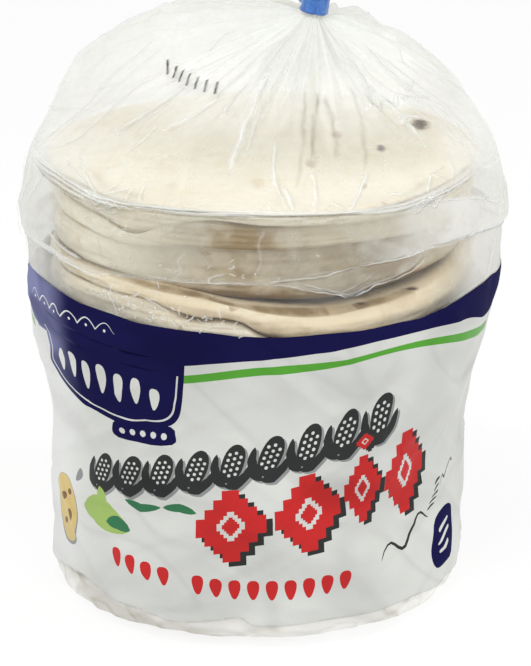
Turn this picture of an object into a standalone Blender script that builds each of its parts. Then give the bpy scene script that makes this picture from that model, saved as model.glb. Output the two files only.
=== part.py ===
"""A stack of corn tortillas in a clear film bag, gathered above the stack and closed with a blue neck tape.

Run with: blender --background --python part.py
Metres, +Z up. The bag stands on Z = 0 with its box centred on the Z axis, its front towards -Y.
The sealed bag is one solid out to its film, and the tape round its neck is a second one.
"""

from math import asin, cos, pi, radians, sin, tau

import bmesh
import bpy
from mathutils import Matrix, Vector

MM = 0.001

# The stack inside
STACK_RADIUS = 74.2 * MM
STACK_HEIGHT = 160.0 * MM

# The film round the stack: tight below, loose and folded over above
FOOT_RADIUS = 64.0 * MM  # the flat spot that the bag stands on
FOOT_SIDE_SPREAD = 7.5 * MM  # the spot is this much wider towards the sides
FOOT_HEIGHT = 10.0 * MM  # height of the rounded bottom edge
FLARE_START = 58.0 * MM  # where the tight film begins to stand away
FLARE_END = 117.0 * MM
FRONT_FLARE = 3.0 * MM
SIDE_FLARE = 7.2 * MM
BOTTOM_SHIFT = 2.6 * MM  # the stack leans: its foot stands this far left of its top
BELLY = 1.2 * MM  # the lowest tortillas are pressed out this far
BELLY_HEIGHT = 24.0 * MM
LIP_HEIGHT = 131.0 * MM  # the slack film hangs over in a fold at this height
LIP_DEPTH = 2.2 * MM
RIM_HEIGHT = STACK_HEIGHT + 1.0 * MM
RIM_TUCK = 3.5 * MM  # how far the film is drawn in from the lip to the rim
RIM_SIDE_TUCK = 2.5 * MM

# The neck, which leans a little to the right
NECK_BASE = Vector((17.0, 6.0, 206.5)) * MM
NECK_LEAN = radians(12.0)
NECK_RADIUS = 4.0 * MM
NECK_LENGTH = 12.0 * MM
TAIL_LENGTH = 30.0 * MM
TAIL_RADIUS = 17.0 * MM
TAIL_PIT = 9.0 * MM  # depth of the hollow in the gathered tail's top

# The air-filled roof behind the stack's front half
DOME_LIFT_LEFT = 36.0 * MM
DOME_LIFT_RIGHT = 14.0 * MM
DOME_SHOULDER_LEFT = 52.0 * MM
DOME_SHOULDER_RIGHT = 24.0 * MM
DOME_CROWN_LEFT = 3.0 * MM  # the trapped air lifts the film above the neck's base here
FRONT_FOLD_HEIGHT = 2.2 * MM
DOME_FOLD_HEIGHT = 2.6 * MM

# The tape
TAPE_GAP = 0.35 * MM
TAPE_THICKNESS = 0.6 * MM
TAPE_WIDTH = 9.0 * MM
TAPE_FLAG = 11.0 * MM  # the two stuck ends stand out this far
TAPE_FLAG_ANGLE = radians(115.0)

# How finely the bag is faceted
AROUND = 84
AROUND_TAPE = 28
FOOT_STEPS = (0.0, 0.3, 0.62, 1.0)
WALL_LEVELS = (26.0, 42.0, 58.0, 74.0, 88.0, 101.0, 112.0, 122.0, 128.0)  # mm
ROOF_STEPS = (0.05, 0.12, 0.2, 0.29, 0.38, 0.47, 0.56, 0.65, 0.74, 0.82, 0.89, 0.95)
TAIL_STEPS = (0.1, 0.3, 0.55, 0.8, 1.0)

FILM_COLOUR = (0.86, 0.86, 0.82)
TAPE_COLOUR = (0.03, 0.16, 0.48)


def ramp(low, high, value):
    """0 below low, 1 above high, and smooth between them."""
    share = min(max((value - low) / (high - low), 0.0), 1.0)
    return share * share * (3.0 - 2.0 * share)


def zigzag(angle):
    """A wave with sharp crests, for creased film."""
    return asin(sin(angle)) * 2.0 / pi


def sideways(angle):
    """1 at the bag's left and right, 0 at its front and back."""
    return cos(angle) ** 2


def behind(angle):
    """0 round the drawn front half of the roof, 1 round its loose back."""
    return ramp(-0.12, 0.5, sin(angle))


def folds(angle):
    """Uneven gathers round the bag, from -1 to 1."""
    return (
        0.5 * zigzag(8.0 * angle + 0.4)
        + 0.3 * zigzag(13.0 * angle + 1.9)
        + 0.2 * sin(5.0 * angle + 0.8)
    )


def wall_radius(angle, height):
    """Distance of the film from the stack's axis."""
    side = sideways(angle)
    radius = STACK_RADIUS
    radius += BELLY * (1.0 - ramp(BELLY_HEIGHT, FLARE_START, height))
    radius += (FRONT_FLARE + SIDE_FLARE * side) * ramp(FLARE_START, FLARE_END, height)
    radius -= (RIM_TUCK - LIP_DEPTH + RIM_SIDE_TUCK * side) * ramp(
        LIP_HEIGHT + 8.0 * MM, RIM_HEIGHT, height
    )
    radius += LIP_DEPTH * (height >= LIP_HEIGHT)
    radius += 0.7 * MM * folds(angle) * ramp(0.0, FLARE_START, height)
    return radius


def stack_lean(height):
    """How far the stack's axis stands to the left at this height."""
    return -BOTTOM_SHIFT * (1.0 - ramp(0.0, RIM_HEIGHT, height))


def around_axis(angle, radius, height):
    return Vector((stack_lean(height) + radius * cos(angle), radius * sin(angle), height))


def wall_point(angle, height):
    return around_axis(angle, wall_radius(angle, height), height)


def foot_point(angle, share):
    """The rounded bottom edge, a quarter of an ellipse."""
    turn = share * pi / 2.0
    outer = wall_radius(angle, FOOT_HEIGHT)
    inner = FOOT_RADIUS + FOOT_SIDE_SPREAD * ramp(0.0, 0.7, sideways(angle))
    radius = inner + (outer - inner) * sin(turn)
    height = FOOT_HEIGHT * (1.0 - cos(turn))
    return around_axis(angle, radius, height)


def neck_point(angle, along, radius):
    """A point on a ring round the leaning neck, along its axis from the neck's base."""
    lean = Matrix.Rotation(NECK_LEAN, 3, "Y")
    return NECK_BASE + lean @ Vector((radius * cos(angle), radius * sin(angle), along))


def roof_point(angle, share):
    """From the rim to the neck along a curve that is straight in front and domed behind."""
    back = behind(angle)
    left = (1.0 - cos(angle)) / 2.0
    lift = DOME_LIFT_RIGHT + (DOME_LIFT_LEFT - DOME_LIFT_RIGHT) * left
    shoulder = DOME_SHOULDER_RIGHT + (DOME_SHOULDER_LEFT - DOME_SHOULDER_RIGHT) * left
    start = wall_point(angle, RIM_HEIGHT)
    end = neck_point(angle, 0.0, NECK_RADIUS)
    outward = Vector((cos(angle), sin(angle), 0.0))
    up = Vector((0.0, 0.0, 1.0))
    first = start.lerp(end, 0.33) + up * 2.0 * MM
    dome_first = start + outward * 3.0 * MM + up * lift
    second = start.lerp(end, 0.72) - up * 1.0 * MM
    dome_second = end + outward * shoulder + up * DOME_CROWN_LEFT * left
    first = first.lerp(dome_first, back)
    second = second.lerp(dome_second, back)
    rest = 1.0 - share
    point = (
        start * rest**3
        + first * 3.0 * rest**2 * share
        + second * 3.0 * rest * share**2
        + end * share**3
    )
    height = FRONT_FOLD_HEIGHT + (DOME_FOLD_HEIGHT - FRONT_FOLD_HEIGHT) * back
    swell = sin(pi * share) ** 0.8 * folds(angle)
    return point + (outward * 0.5 + up) * height * swell


def tail_point(angle, share):
    """The gathered film above the tape, spreading into an uneven pleated edge."""
    spread = share**1.4
    pleat = 1.0 + 0.3 * spread * zigzag(7.0 * angle + 0.9)
    radius = (NECK_RADIUS + (TAIL_RADIUS - NECK_RADIUS) * spread) * pleat
    uneven = 1.0 + 0.16 * spread * sin(3.0 * angle + 0.7) + 0.05 * spread * folds(angle)
    return neck_point(angle, NECK_LENGTH + TAIL_LENGTH * share * uneven, radius)


def bag_rings():
    """Every ring of the bag's outside, from the foot to the tail's edge."""
    angles = [tau * step / AROUND for step in range(AROUND)]
    rings = [[foot_point(a, share) for a in angles] for share in FOOT_STEPS]
    rings += [[wall_point(a, level * MM) for a in angles] for level in WALL_LEVELS]
    under_lip = LIP_HEIGHT - 0.6 * MM
    rings.append([wall_point(a, under_lip) for a in angles])
    for level in (LIP_HEIGHT, 138.0 * MM, 147.0 * MM, 155.0 * MM, RIM_HEIGHT):
        rings.append([wall_point(a, level) for a in angles])
    rings += [[roof_point(a, share) for a in angles] for share in ROOF_STEPS]
    for along in (0.0, NECK_LENGTH):
        rings.append([neck_point(a, along, NECK_RADIUS) for a in angles])
    rings += [[tail_point(a, share) for a in angles] for share in TAIL_STEPS]
    return rings


def closed_loft(name, rings, top_centre=None):
    """One closed mesh through rings of equal length, with a flat bottom face and a fan on top."""
    bm = bmesh.new()
    rows = [[bm.verts.new(point) for point in ring] for ring in rings]
    count = len(rows[0])
    for low, high in zip(rows, rows[1:]):
        for i in range(count):
            j = (i + 1) % count
            bm.faces.new((low[i], low[j], high[j], high[i]))
    bm.faces.new(reversed(rows[0]))
    if top_centre is None:
        bm.faces.new(rows[-1])
    else:
        tip = bm.verts.new(top_centre)
        for i in range(count):
            bm.faces.new((rows[-1][i], rows[-1][(i + 1) % count], tip))
    mesh = bpy.data.meshes.new(name)
    bm.to_mesh(mesh)
    bm.free()
    return mesh


def tape_section():
    """The tape's outline seen along the neck: a ring that runs out into a flat flag of two stuck ends."""
    inner_radius = NECK_RADIUS + TAPE_GAP
    outer_radius = inner_radius + TAPE_THICKNESS
    half_root = asin(TAPE_THICKNESS / outer_radius)
    along = Vector((cos(TAPE_FLAG_ANGLE), sin(TAPE_FLAG_ANGLE), 0.0))
    across = Vector((-along.y, along.x, 0.0)) * TAPE_THICKNESS
    outer = []
    for step in range(AROUND_TAPE + 1):
        turn = TAPE_FLAG_ANGLE + half_root + (tau - 2.0 * half_root) * step / AROUND_TAPE
        outer.append(Vector((outer_radius * cos(turn), outer_radius * sin(turn), 0.0)))
    tip = along * (outer_radius + TAPE_FLAG)
    outer += [tip - across, tip + across]
    inner = []
    for step in range(AROUND_TAPE):
        turn = TAPE_FLAG_ANGLE + tau * step / AROUND_TAPE
        inner.append(Vector((inner_radius * cos(turn), inner_radius * sin(turn), 0.0)))
    return outer, inner


def outline_curve(name, loops, thickness):
    """A flat outline with holes, as a filled 2D curve of the given thickness."""
    curve = bpy.data.curves.new(name, "CURVE")
    curve.dimensions = "2D"
    curve.fill_mode = "BOTH"
    curve.extrude = thickness / 2.0
    for points in loops:
        spline = curve.splines.new("POLY")
        spline.points.add(len(points) - 1)
        for target, point in zip(spline.points, points):
            target.co = (point.x, point.y, 0.0, 1.0)
        spline.use_cyclic_u = True
    return curve


def material(name, colour, roughness, alpha=1.0):
    made = bpy.data.materials.new(name)
    made.use_nodes = True
    shader = made.node_tree.nodes["Principled BSDF"]
    shader.inputs["Base Color"].default_value = (*colour, 1.0)
    shader.inputs["Roughness"].default_value = roughness
    shader.inputs["Metallic"].default_value = 0.0
    shader.inputs["Alpha"].default_value = alpha
    return made


def add_object(name, data, collection, look, parent):
    made = bpy.data.objects.new(name, data)
    made.data.materials.append(look)
    made.parent = parent
    collection.objects.link(made)
    return made


def centre_on_axis(root, bag):
    """Moves the whole object so that the bag's box is centred on the Z axis."""
    xs = [vertex.co.x for vertex in bag.data.vertices]
    ys = [vertex.co.y for vertex in bag.data.vertices]
    root.location = (-(min(xs) + max(xs)) / 2.0, -(min(ys) + max(ys)) / 2.0, 0.0)


def main():
    for old in list(bpy.data.objects):
        bpy.data.objects.remove(old)
    collection = bpy.data.collections.new("corn_tortilla_bag")
    bpy.context.scene.collection.children.link(collection)
    root = bpy.data.objects.new("bag_origin", None)
    collection.objects.link(root)

    film = material("film", FILM_COLOUR, 0.2, alpha=0.5)
    pit = neck_point(0.0, NECK_LENGTH + TAIL_LENGTH - TAIL_PIT, 0.0)
    bag = add_object("bag", closed_loft("bag", bag_rings(), pit), collection, film, root)
    bag.data.shade_smooth()
    bag.data.set_sharp_from_angle(angle=radians(40.0))

    blue = material("tape", TAPE_COLOUR, 0.35)
    tape_curve = outline_curve("neck_tape", tape_section(), TAPE_WIDTH)
    tape = add_object("neck_tape", tape_curve, collection, blue, root)
    tape.location = neck_point(0.0, NECK_LENGTH / 2.0, 0.0)
    tape.rotation_euler = (0.0, NECK_LEAN, 0.0)

    centre_on_axis(root, bag)
    bpy.context.view_layer.update()


main()
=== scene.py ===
"""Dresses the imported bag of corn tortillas: clear film, printed film, the stack inside and the neck tape.

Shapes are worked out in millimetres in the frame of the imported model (+Z up, front towards -Y) and become
metres when a mesh is made. An angle of -90 degrees is the bag's front, 0 its right and 180 its left.
"""

from math import cos, pi, radians, sin, tau

import bmesh
import bpy
import numpy as np
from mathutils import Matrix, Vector
from mathutils.geometry import delaunay_2d_cdt


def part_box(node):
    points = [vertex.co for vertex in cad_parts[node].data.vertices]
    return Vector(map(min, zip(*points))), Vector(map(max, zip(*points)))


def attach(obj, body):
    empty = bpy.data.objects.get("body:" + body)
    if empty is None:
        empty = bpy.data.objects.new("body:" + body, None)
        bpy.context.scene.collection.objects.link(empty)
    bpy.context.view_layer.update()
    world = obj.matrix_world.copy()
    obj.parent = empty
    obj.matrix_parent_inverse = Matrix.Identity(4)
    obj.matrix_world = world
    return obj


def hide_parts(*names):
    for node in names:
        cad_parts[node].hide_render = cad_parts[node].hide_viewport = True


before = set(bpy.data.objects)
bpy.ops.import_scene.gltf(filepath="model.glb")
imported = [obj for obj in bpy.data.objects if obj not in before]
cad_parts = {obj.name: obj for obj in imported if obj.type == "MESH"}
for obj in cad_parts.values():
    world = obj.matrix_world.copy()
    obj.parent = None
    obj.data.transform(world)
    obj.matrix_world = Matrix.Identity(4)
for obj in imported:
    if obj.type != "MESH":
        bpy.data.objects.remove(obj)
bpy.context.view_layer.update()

MM = 0.001

# The film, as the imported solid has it
STACK_RADIUS = 74.2
STACK_HEIGHT = 160.0
RIM_HEIGHT = 161.0
FOOT_RADIUS = 64.0
FOOT_SIDE_SPREAD = 7.5
FOOT_HEIGHT = 10.0
FLARE_START = 58.0
FLARE_END = 117.0
FRONT_FLARE = 3.0
SIDE_FLARE = 7.2
BOTTOM_SHIFT = 2.6
BELLY = 1.2
BELLY_HEIGHT = 24.0
LIP_HEIGHT = 131.0
LIP_DEPTH = 2.2
RIM_TUCK = 3.5
RIM_SIDE_TUCK = 2.5
NECK_BASE = np.array((17.0, 6.0, 206.5))
NECK_LEAN = radians(12.0)
NECK_RADIUS = 4.0
NECK_LENGTH = 12.0
TAIL_LENGTH = 30.0
TAIL_RADIUS = 17.0
DOME_LIFT_LEFT = 36.0
DOME_LIFT_RIGHT = 14.0
DOME_SHOULDER_LEFT = 52.0
DOME_SHOULDER_RIGHT = 24.0
DOME_CROWN_LEFT = 3.0
FRONT_FOLD_HEIGHT = 2.2
DOME_FOLD_HEIGHT = 2.6

# How finely the film is meshed
FILM_COLUMNS = 640
PRINT_STEP = 1.25

# The print: places across the front in mm from its middle, heights in mm
PRINT_RADIUS = 75.0
PRINT_HALF = pi * PRINT_RADIUS


# ---------------------------------------------------------------- numbers and noise


def ramp(low, high, value):
    """0 below low, 1 above high, and smooth between them."""
    share = np.clip((value - low) / (high - low), 0.0, 1.0)
    return share * share * (3.0 - 2.0 * share)


def zigzag(angle):
    """A wave with sharp crests, for creased film."""
    return np.arcsin(np.sin(angle)) * 2.0 / pi


def lattice_noise(across, up, cells, seed):
    """Smooth noise from -1 to 1. It repeats after that many cells across."""
    tall = 97
    table = np.random.default_rng(seed).uniform(-1.0, 1.0, (cells, tall))
    column = np.floor(across).astype(int)
    row = np.floor(up).astype(int)
    u = across - column
    v = up - row
    u = u * u * (3.0 - 2.0 * u)
    v = v * v * (3.0 - 2.0 * v)
    left, right = column % cells, (column + 1) % cells
    low, high = row % tall, (row + 1) % tall
    below = table[left, low] * (1.0 - u) + table[right, low] * u
    above = table[left, high] * (1.0 - u) + table[right, high] * u
    return below * (1.0 - v) + above * v


def turn_noise(angle, up, cells, seed):
    """Smooth noise round the bag, with that many cells to a turn."""
    return lattice_noise(angle / tau * cells, up, cells, seed)


def crest_noise(angle, up, cells, seed):
    """Noise from -1 to 1 with sharp crests, like the creases of thin film."""
    return 1.0 - 3.0 * np.minimum(np.abs(turn_noise(angle, up, cells, seed)), 0.667)


def curve_through(points, at, period):
    """A smooth closed line through (place, value) points, read at the places given."""
    places, values = np.array(points, dtype=float).T
    places = np.concatenate((places - period, places, places + period))
    values = np.tile(values, 3)
    slopes = np.gradient(values, places)
    k = np.clip(np.searchsorted(places, at) - 1, 0, len(places) - 2)
    step = places[k + 1] - places[k]
    t = (at - places[k]) / step
    return (
        values[k] * (1.0 + 2.0 * t) * (1.0 - t) ** 2
        + slopes[k] * step * t * (1.0 - t) ** 2
        + values[k + 1] * t * t * (3.0 - 2.0 * t)
        + slopes[k + 1] * step * t * t * (t - 1.0)
    )


def points_at(angle, radius, height, centre_x=0.0, centre_y=0.0):
    """Points on rings round a standing axis."""
    x = centre_x + radius * np.cos(angle)
    y = centre_y + radius * np.sin(angle)
    return np.stack(np.broadcast_arrays(x, y, height), axis=-1)


# ---------------------------------------------------------------- the film's form


def folds(angle):
    """Uneven gathers round the bag, from -1 to 1."""
    return (
        0.5 * zigzag(8.0 * angle + 0.4)
        + 0.3 * zigzag(13.0 * angle + 1.9)
        + 0.2 * np.sin(5.0 * angle + 0.8)
    )


def stack_lean(height):
    """How far the stack's axis stands to the left at this height."""
    return -BOTTOM_SHIFT * (1.0 - ramp(0.0, RIM_HEIGHT, height))


def wall_radius(angle, height):
    """Distance of the film from the stack's axis, without the lip and the small creases."""
    side = np.cos(angle) ** 2
    radius = STACK_RADIUS + BELLY * (1.0 - ramp(BELLY_HEIGHT, FLARE_START, height))
    radius = radius + (FRONT_FLARE + SIDE_FLARE * side) * ramp(FLARE_START, FLARE_END, height)
    tuck = RIM_TUCK - LIP_DEPTH + RIM_SIDE_TUCK * side
    radius = radius - tuck * ramp(LIP_HEIGHT + 8.0, RIM_HEIGHT, height)
    return radius + 0.7 * folds(angle) * ramp(0.0, FLARE_START, height)


def wall_relief(angle, height):
    """The film's soft waves and creases where it lies round the stack."""
    broad = 0.55 * turn_noise(angle + 0.003 * height, height / 23.0, 16, 3)
    small = 0.22 * turn_noise(angle - 0.006 * height, height / 9.0, 38, 4)
    rising = 0.30 * crest_noise(angle + 0.016 * height, height / 30.0, 19, 5)
    falling = 0.22 * crest_noise(angle - 0.022 * height, height / 26.0, 23, 6)
    return broad + small + rising + falling


def hem_height(across):
    """The fold where the printed film turns under at the bag's foot, straight between its kinks."""
    kinks = ((-PRINT_HALF, 8.0), (-190, 11.5), (-150, 9.0), (-118, 12.5), (-96, 10.5), (-71, 14.5), (-55, 10.8))
    kinks += ((-39, 9.6), (-31, 7.7), (-18, 9.8), (-6, 12.2), (-0.5, 8.5), (28, 10.2), (66, 8.7), (78, 6.2))
    kinks += ((104, 9.5), (132, 7.0), (158, 11.5), (196, 9.0), (PRINT_HALF, 8.0))
    places, heights = np.array(kinks, dtype=float).T
    return np.interp(across, places, heights)


def rim_lift(angle):
    """How far the top's edge stands above RIM_HEIGHT. It runs straight between its kinks, up to two corners."""
    kinks = ((-180, 3.4), (-161.5, 3.9), (-148, 3.0), (-140, 1.5), (-133, -0.7), (-125, -1.1), (-116, -0.6))
    kinks += ((-102, -0.3), (-81, -0.7), (-66, -1.5), (-55, -1.2), (-42.5, 1.1), (-27, 4.2), (-8, 2.6), (25, 0.0))
    kinks += ((150, 0.0), (180, 3.4))
    places, heights = np.array(kinks, dtype=float).T
    return np.interp((np.degrees(angle) + 180.0) % 360.0 - 180.0, places, heights)


def lifted(angle, height):
    """A height on the standing film, raised or lowered near the top as its edge is."""
    return height + rim_lift(angle) * ramp(146.0, RIM_HEIGHT, height)


def printed_point(angle, path):
    """The printed film. A path above FOOT_HEIGHT is a height, and below it runs round the foot's edge."""
    height = np.maximum(path, FOOT_HEIGHT)
    radius = wall_radius(angle, height)
    turn = np.clip((FOOT_HEIGHT - path) / (2.0 * FOOT_HEIGHT), 0.0, 1.0) * pi / 2.0
    inner = FOOT_RADIUS + FOOT_SIDE_SPREAD * ramp(0.0, 0.7, np.cos(angle) ** 2)
    radius = inner + (radius - inner) * np.cos(turn)
    height = height - FOOT_HEIGHT * np.sin(turn)
    hem = path - hem_height((angle + pi / 2.0) * PRINT_RADIUS)
    under = hem < -0.02
    ledge = np.where(under, -1.3 * ramp(0.0, -1.2, hem), 0.8 * np.exp(-((hem / 3.0) ** 2)))
    crumple = 0.5 * crest_noise(angle, path / 9.0, 44, 7) + 0.3 * crest_noise(angle, path / 6.0, 71, 8)
    crumple = crumple * ramp(0.0, -3.0, hem) * ramp(-10.0, -6.0, path)
    soft = wall_relief(angle, height) * (0.35 + 1.45 * ramp(-10.0, 14.0, path))
    relief = np.maximum(soft, -0.9 + 0.6 * ramp(84.0, 104.0, path)) + ledge + crumple
    return points_at(angle, radius + relief, height, stack_lean(height))


def neck_point(angle, along, radius):
    """A ring round the leaning neck, at a distance along its axis from the neck's base."""
    x = radius * np.cos(angle)
    y = radius * np.sin(angle)
    z = along + 0.0 * x
    lean_x = x * cos(NECK_LEAN) + z * sin(NECK_LEAN)
    lean_z = -x * sin(NECK_LEAN) + z * cos(NECK_LEAN)
    return NECK_BASE + np.stack((lean_x, y + 0.0 * z, lean_z), axis=-1)


def behind(angle):
    """0 round the drawn front half of the roof, 1 round its loose back."""
    return ramp(-0.12, 0.5, np.sin(angle))


def roof_point(angle, share, rim):
    """From the rim to the neck along a curve that is straight in front and domed behind."""
    left = (1.0 - np.cos(angle)) / 2.0
    lift = DOME_LIFT_RIGHT + (DOME_LIFT_LEFT - DOME_LIFT_RIGHT) * left
    shoulder = DOME_SHOULDER_RIGHT + (DOME_SHOULDER_LEFT - DOME_SHOULDER_RIGHT) * left
    end = neck_point(angle, 0.0, NECK_RADIUS)
    outward = points_at(angle, 1.0, 0.0)
    up = np.array((0.0, 0.0, 1.0))
    back = behind(angle)[..., None]
    first = rim + (end - rim) * 0.33 + up * 2.0
    dome_first = rim + outward * 3.0 + up * lift[..., None]
    second = rim + (end - rim) * 0.72 - up
    dome_second = end + outward * shoulder[..., None] + up * DOME_CROWN_LEFT * left[..., None]
    first = first + (dome_first - first) * back
    second = second + (dome_second - second) * back
    s = share[..., None]
    point = rim * (1 - s) ** 3 + first * 3 * s * (1 - s) ** 2 + second * 3 * s * s * (1 - s) + end * s**3
    height = FRONT_FOLD_HEIGHT + (DOME_FOLD_HEIGHT - FRONT_FOLD_HEIGHT) * behind(angle)
    swell = np.sin(pi * share) ** 0.8 * folds(angle) * height
    return point + (outward * 0.5 + up) * swell[..., None]


# ---------------------------------------------------------------- meshes


def new_object(name, mesh, materials):
    made = bpy.data.objects.new(name, mesh)
    for look in materials:
        mesh.materials.append(look)
    mesh.shade_smooth()
    bpy.context.scene.collection.objects.link(made)
    return made


def grid_mesh(name, points, closed=True, **values):
    """A sheet through rows of points in mm, with named values at its points. Its rows may be closed rings."""
    rows, columns = points.shape[:2]
    left = np.arange(columns if closed else columns - 1)
    right = (left + 1) % columns
    start = np.arange(rows - 1)[:, None] * columns
    corners = (start + left, start + right, start + columns + right, start + columns + left)
    faces = np.stack(np.broadcast_arrays(*corners), axis=-1).reshape(-1, 4)
    mesh = bpy.data.meshes.new(name)
    mesh.from_pydata((points.reshape(-1, 3) * MM).tolist(), [], faces.tolist())
    for key, value in values.items():
        add_point_values(mesh, key, value)
    return mesh


def add_point_values(mesh, name, values):
    layer = mesh.attributes.new(name, "FLOAT", "POINT")
    layer.data.foreach_set("value", np.ascontiguousarray(values, dtype=np.float32).ravel())


def sheet_normals(points):
    """Unit normals of a closed sheet of rows, pointing outwards."""
    around = np.roll(points, -1, axis=1) - np.roll(points, 1, axis=1)
    along = np.gradient(points, axis=0)
    normal = np.cross(around, along)
    return normal / np.maximum(np.linalg.norm(normal, axis=-1, keepdims=True), 1e-9)


# ---------------------------------------------------------------- materials


def add_node(tree, kind, inputs=(), **settings):
    """A node of that kind. An input is a value or another node's output."""
    made = tree.nodes.new(kind)
    for name, value in settings.items():
        setattr(made, name, value)
    for key, value in dict(inputs).items():
        if isinstance(value, bpy.types.NodeSocket):
            tree.links.new(value, made.inputs[key])
        else:
            made.inputs[key].default_value = value
    return made


def new_material(name):
    made = bpy.data.materials.new(name)
    made.use_nodes = True
    made.node_tree.nodes.clear()
    return made, made.node_tree


def finish_material(tree, shader):
    output = tree.nodes.new("ShaderNodeOutputMaterial")
    tree.links.new(shader.outputs[0], output.inputs["Surface"])


def mix_colour(tree, factor, first, second):
    """The output of a colour mix."""
    made = add_node(tree, "ShaderNodeMix", {0: factor, 6: first, 7: second}, data_type="RGBA")
    return made.outputs[2]


def maths(tree, operation, first, second=0.0, clamp=False):
    made = add_node(tree, "ShaderNodeMath", {0: first, 1: second}, operation=operation, use_clamp=clamp)
    return made.outputs[0]


def noise_value(tree, place, scale, detail=3.0, roughness=0.5, distortion=0.0):
    inputs = {"Vector": place, "Scale": scale, "Detail": detail, "Roughness": roughness}
    return add_node(tree, "ShaderNodeTexNoise", {**inputs, "Distortion": distortion}).outputs[0]


def stretch(tree, value, low, high, to_low=0.0, to_high=1.0):
    """Maps low..high to to_low..to_high, with smooth ends."""
    inputs = {"Value": value, "From Min": low, "From Max": high, "To Min": to_low, "To Max": to_high}
    made = add_node(tree, "ShaderNodeMapRange", inputs, interpolation_type="SMOOTHSTEP")
    return made.outputs[0]


def object_place(tree):
    return add_node(tree, "ShaderNodeTexCoord").outputs["Object"]


def bump_from(tree, value, strength, distance):
    return add_node(
        tree, "ShaderNodeBump", {"Height": value, "Strength": strength, "Distance": distance}
    ).outputs[0]


def clear_film_material():
    """Thin clear polyethylene: see-through, milky where it is gathered, with a soft shine. Painted shade greys it in
    folds and where it hangs doubled in front, and on the white creases its milk also stands in for highlights.
    """
    made, tree = new_material("clear film")
    place = object_place(tree)
    milk = add_node(tree, "ShaderNodeAttribute", attribute_name="milk").outputs["Fac"]
    streaks = noise_value(tree, place, 60.0, 4.0, 0.6)
    haze = maths(tree, "MULTIPLY", milk, stretch(tree, streaks, 0.3, 0.7, 0.85, 1.15), clamp=True)
    crinkle = add_node(
        tree, "ShaderNodeTexVoronoi", {"Vector": place, "Scale": 210.0, "Randomness": 1.0}, feature="DISTANCE_TO_EDGE"
    ).outputs["Distance"]
    fine = noise_value(tree, place, 260.0, 3.0, 0.55)
    wide = noise_value(tree, place, 90.0, 2.0, 0.5)
    waves = maths(tree, "ADD", fine, maths(tree, "MULTIPLY", wide, 2.0))
    waves = maths(tree, "ADD", waves, maths(tree, "MULTIPLY", crinkle, 0.9))
    ripple = bump_from(tree, waves, 0.36, 0.0006)
    # Painted shade: the film is greyed in its folds and where it hangs doubled in front.
    tone = add_node(tree, "ShaderNodeAttribute", attribute_name="tone").outputs["Fac"]
    white = mix_colour(tree, tone, (0.945, 0.965, 0.965, 1.0), (0.60, 0.615, 0.56, 1.0))
    through = add_node(tree, "ShaderNodeBsdfTransparent", {"Color": (0.985, 0.987, 0.98, 1.0)})
    front = add_node(tree, "ShaderNodeBsdfDiffuse", {"Color": white, "Normal": ripple})
    back = add_node(tree, "ShaderNodeBsdfTranslucent", {"Color": white, "Normal": ripple})
    cloud = add_node(tree, "ShaderNodeMixShader", {0: 0.5, 1: front.outputs[0], 2: back.outputs[0]})
    body = add_node(tree, "ShaderNodeMixShader", {0: haze, 1: through.outputs[0], 2: cloud.outputs[0]})
    shine = add_node(
        tree,
        "ShaderNodeBsdfAnisotropic",
        {"Color": (1.0, 1.0, 1.0, 1.0), "Roughness": 0.145, "Normal": ripple},
    )
    edge = add_node(tree, "ShaderNodeFresnel", {"IOR": 1.45, "Normal": ripple}).outputs[0]
    clear_share = maths(tree, "SUBTRACT", 1.0, maths(tree, "MULTIPLY", haze, 0.65))
    mirror = maths(tree, "MULTIPLY", maths(tree, "MINIMUM", edge, 0.22), clear_share)
    whole = add_node(tree, "ShaderNodeMixShader", {0: mirror, 1: body.outputs[0], 2: shine.outputs[0]})
    finish_material(tree, whole)
    return made


def crease_material(name, colour):
    """A dark transparent line on the clear film, as dark as its milk value says: stamped ink, and the painted shadows
    and painted shade along creases and folds.
    """
    made, tree = new_material(name)
    place = object_place(tree)
    milk = add_node(tree, "ShaderNodeAttribute", attribute_name="milk").outputs["Fac"]
    # Uneven strength: wear of the stamped ink, and of the painted shade on dark lines.
    wear_and_painted_shade = maths(tree, "MULTIPLY", milk, stretch(tree, noise_value(tree, place, 160.0), 0.3, 0.7, 0.7, 1.1), clamp=True)
    tint = mix_colour(tree, wear_and_painted_shade, (1.0, 1.0, 1.0, 1.0), (*colour, 1.0))
    finish_material(tree, add_node(tree, "ShaderNodeBsdfTransparent", {"Color": tint}))
    return made


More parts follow.
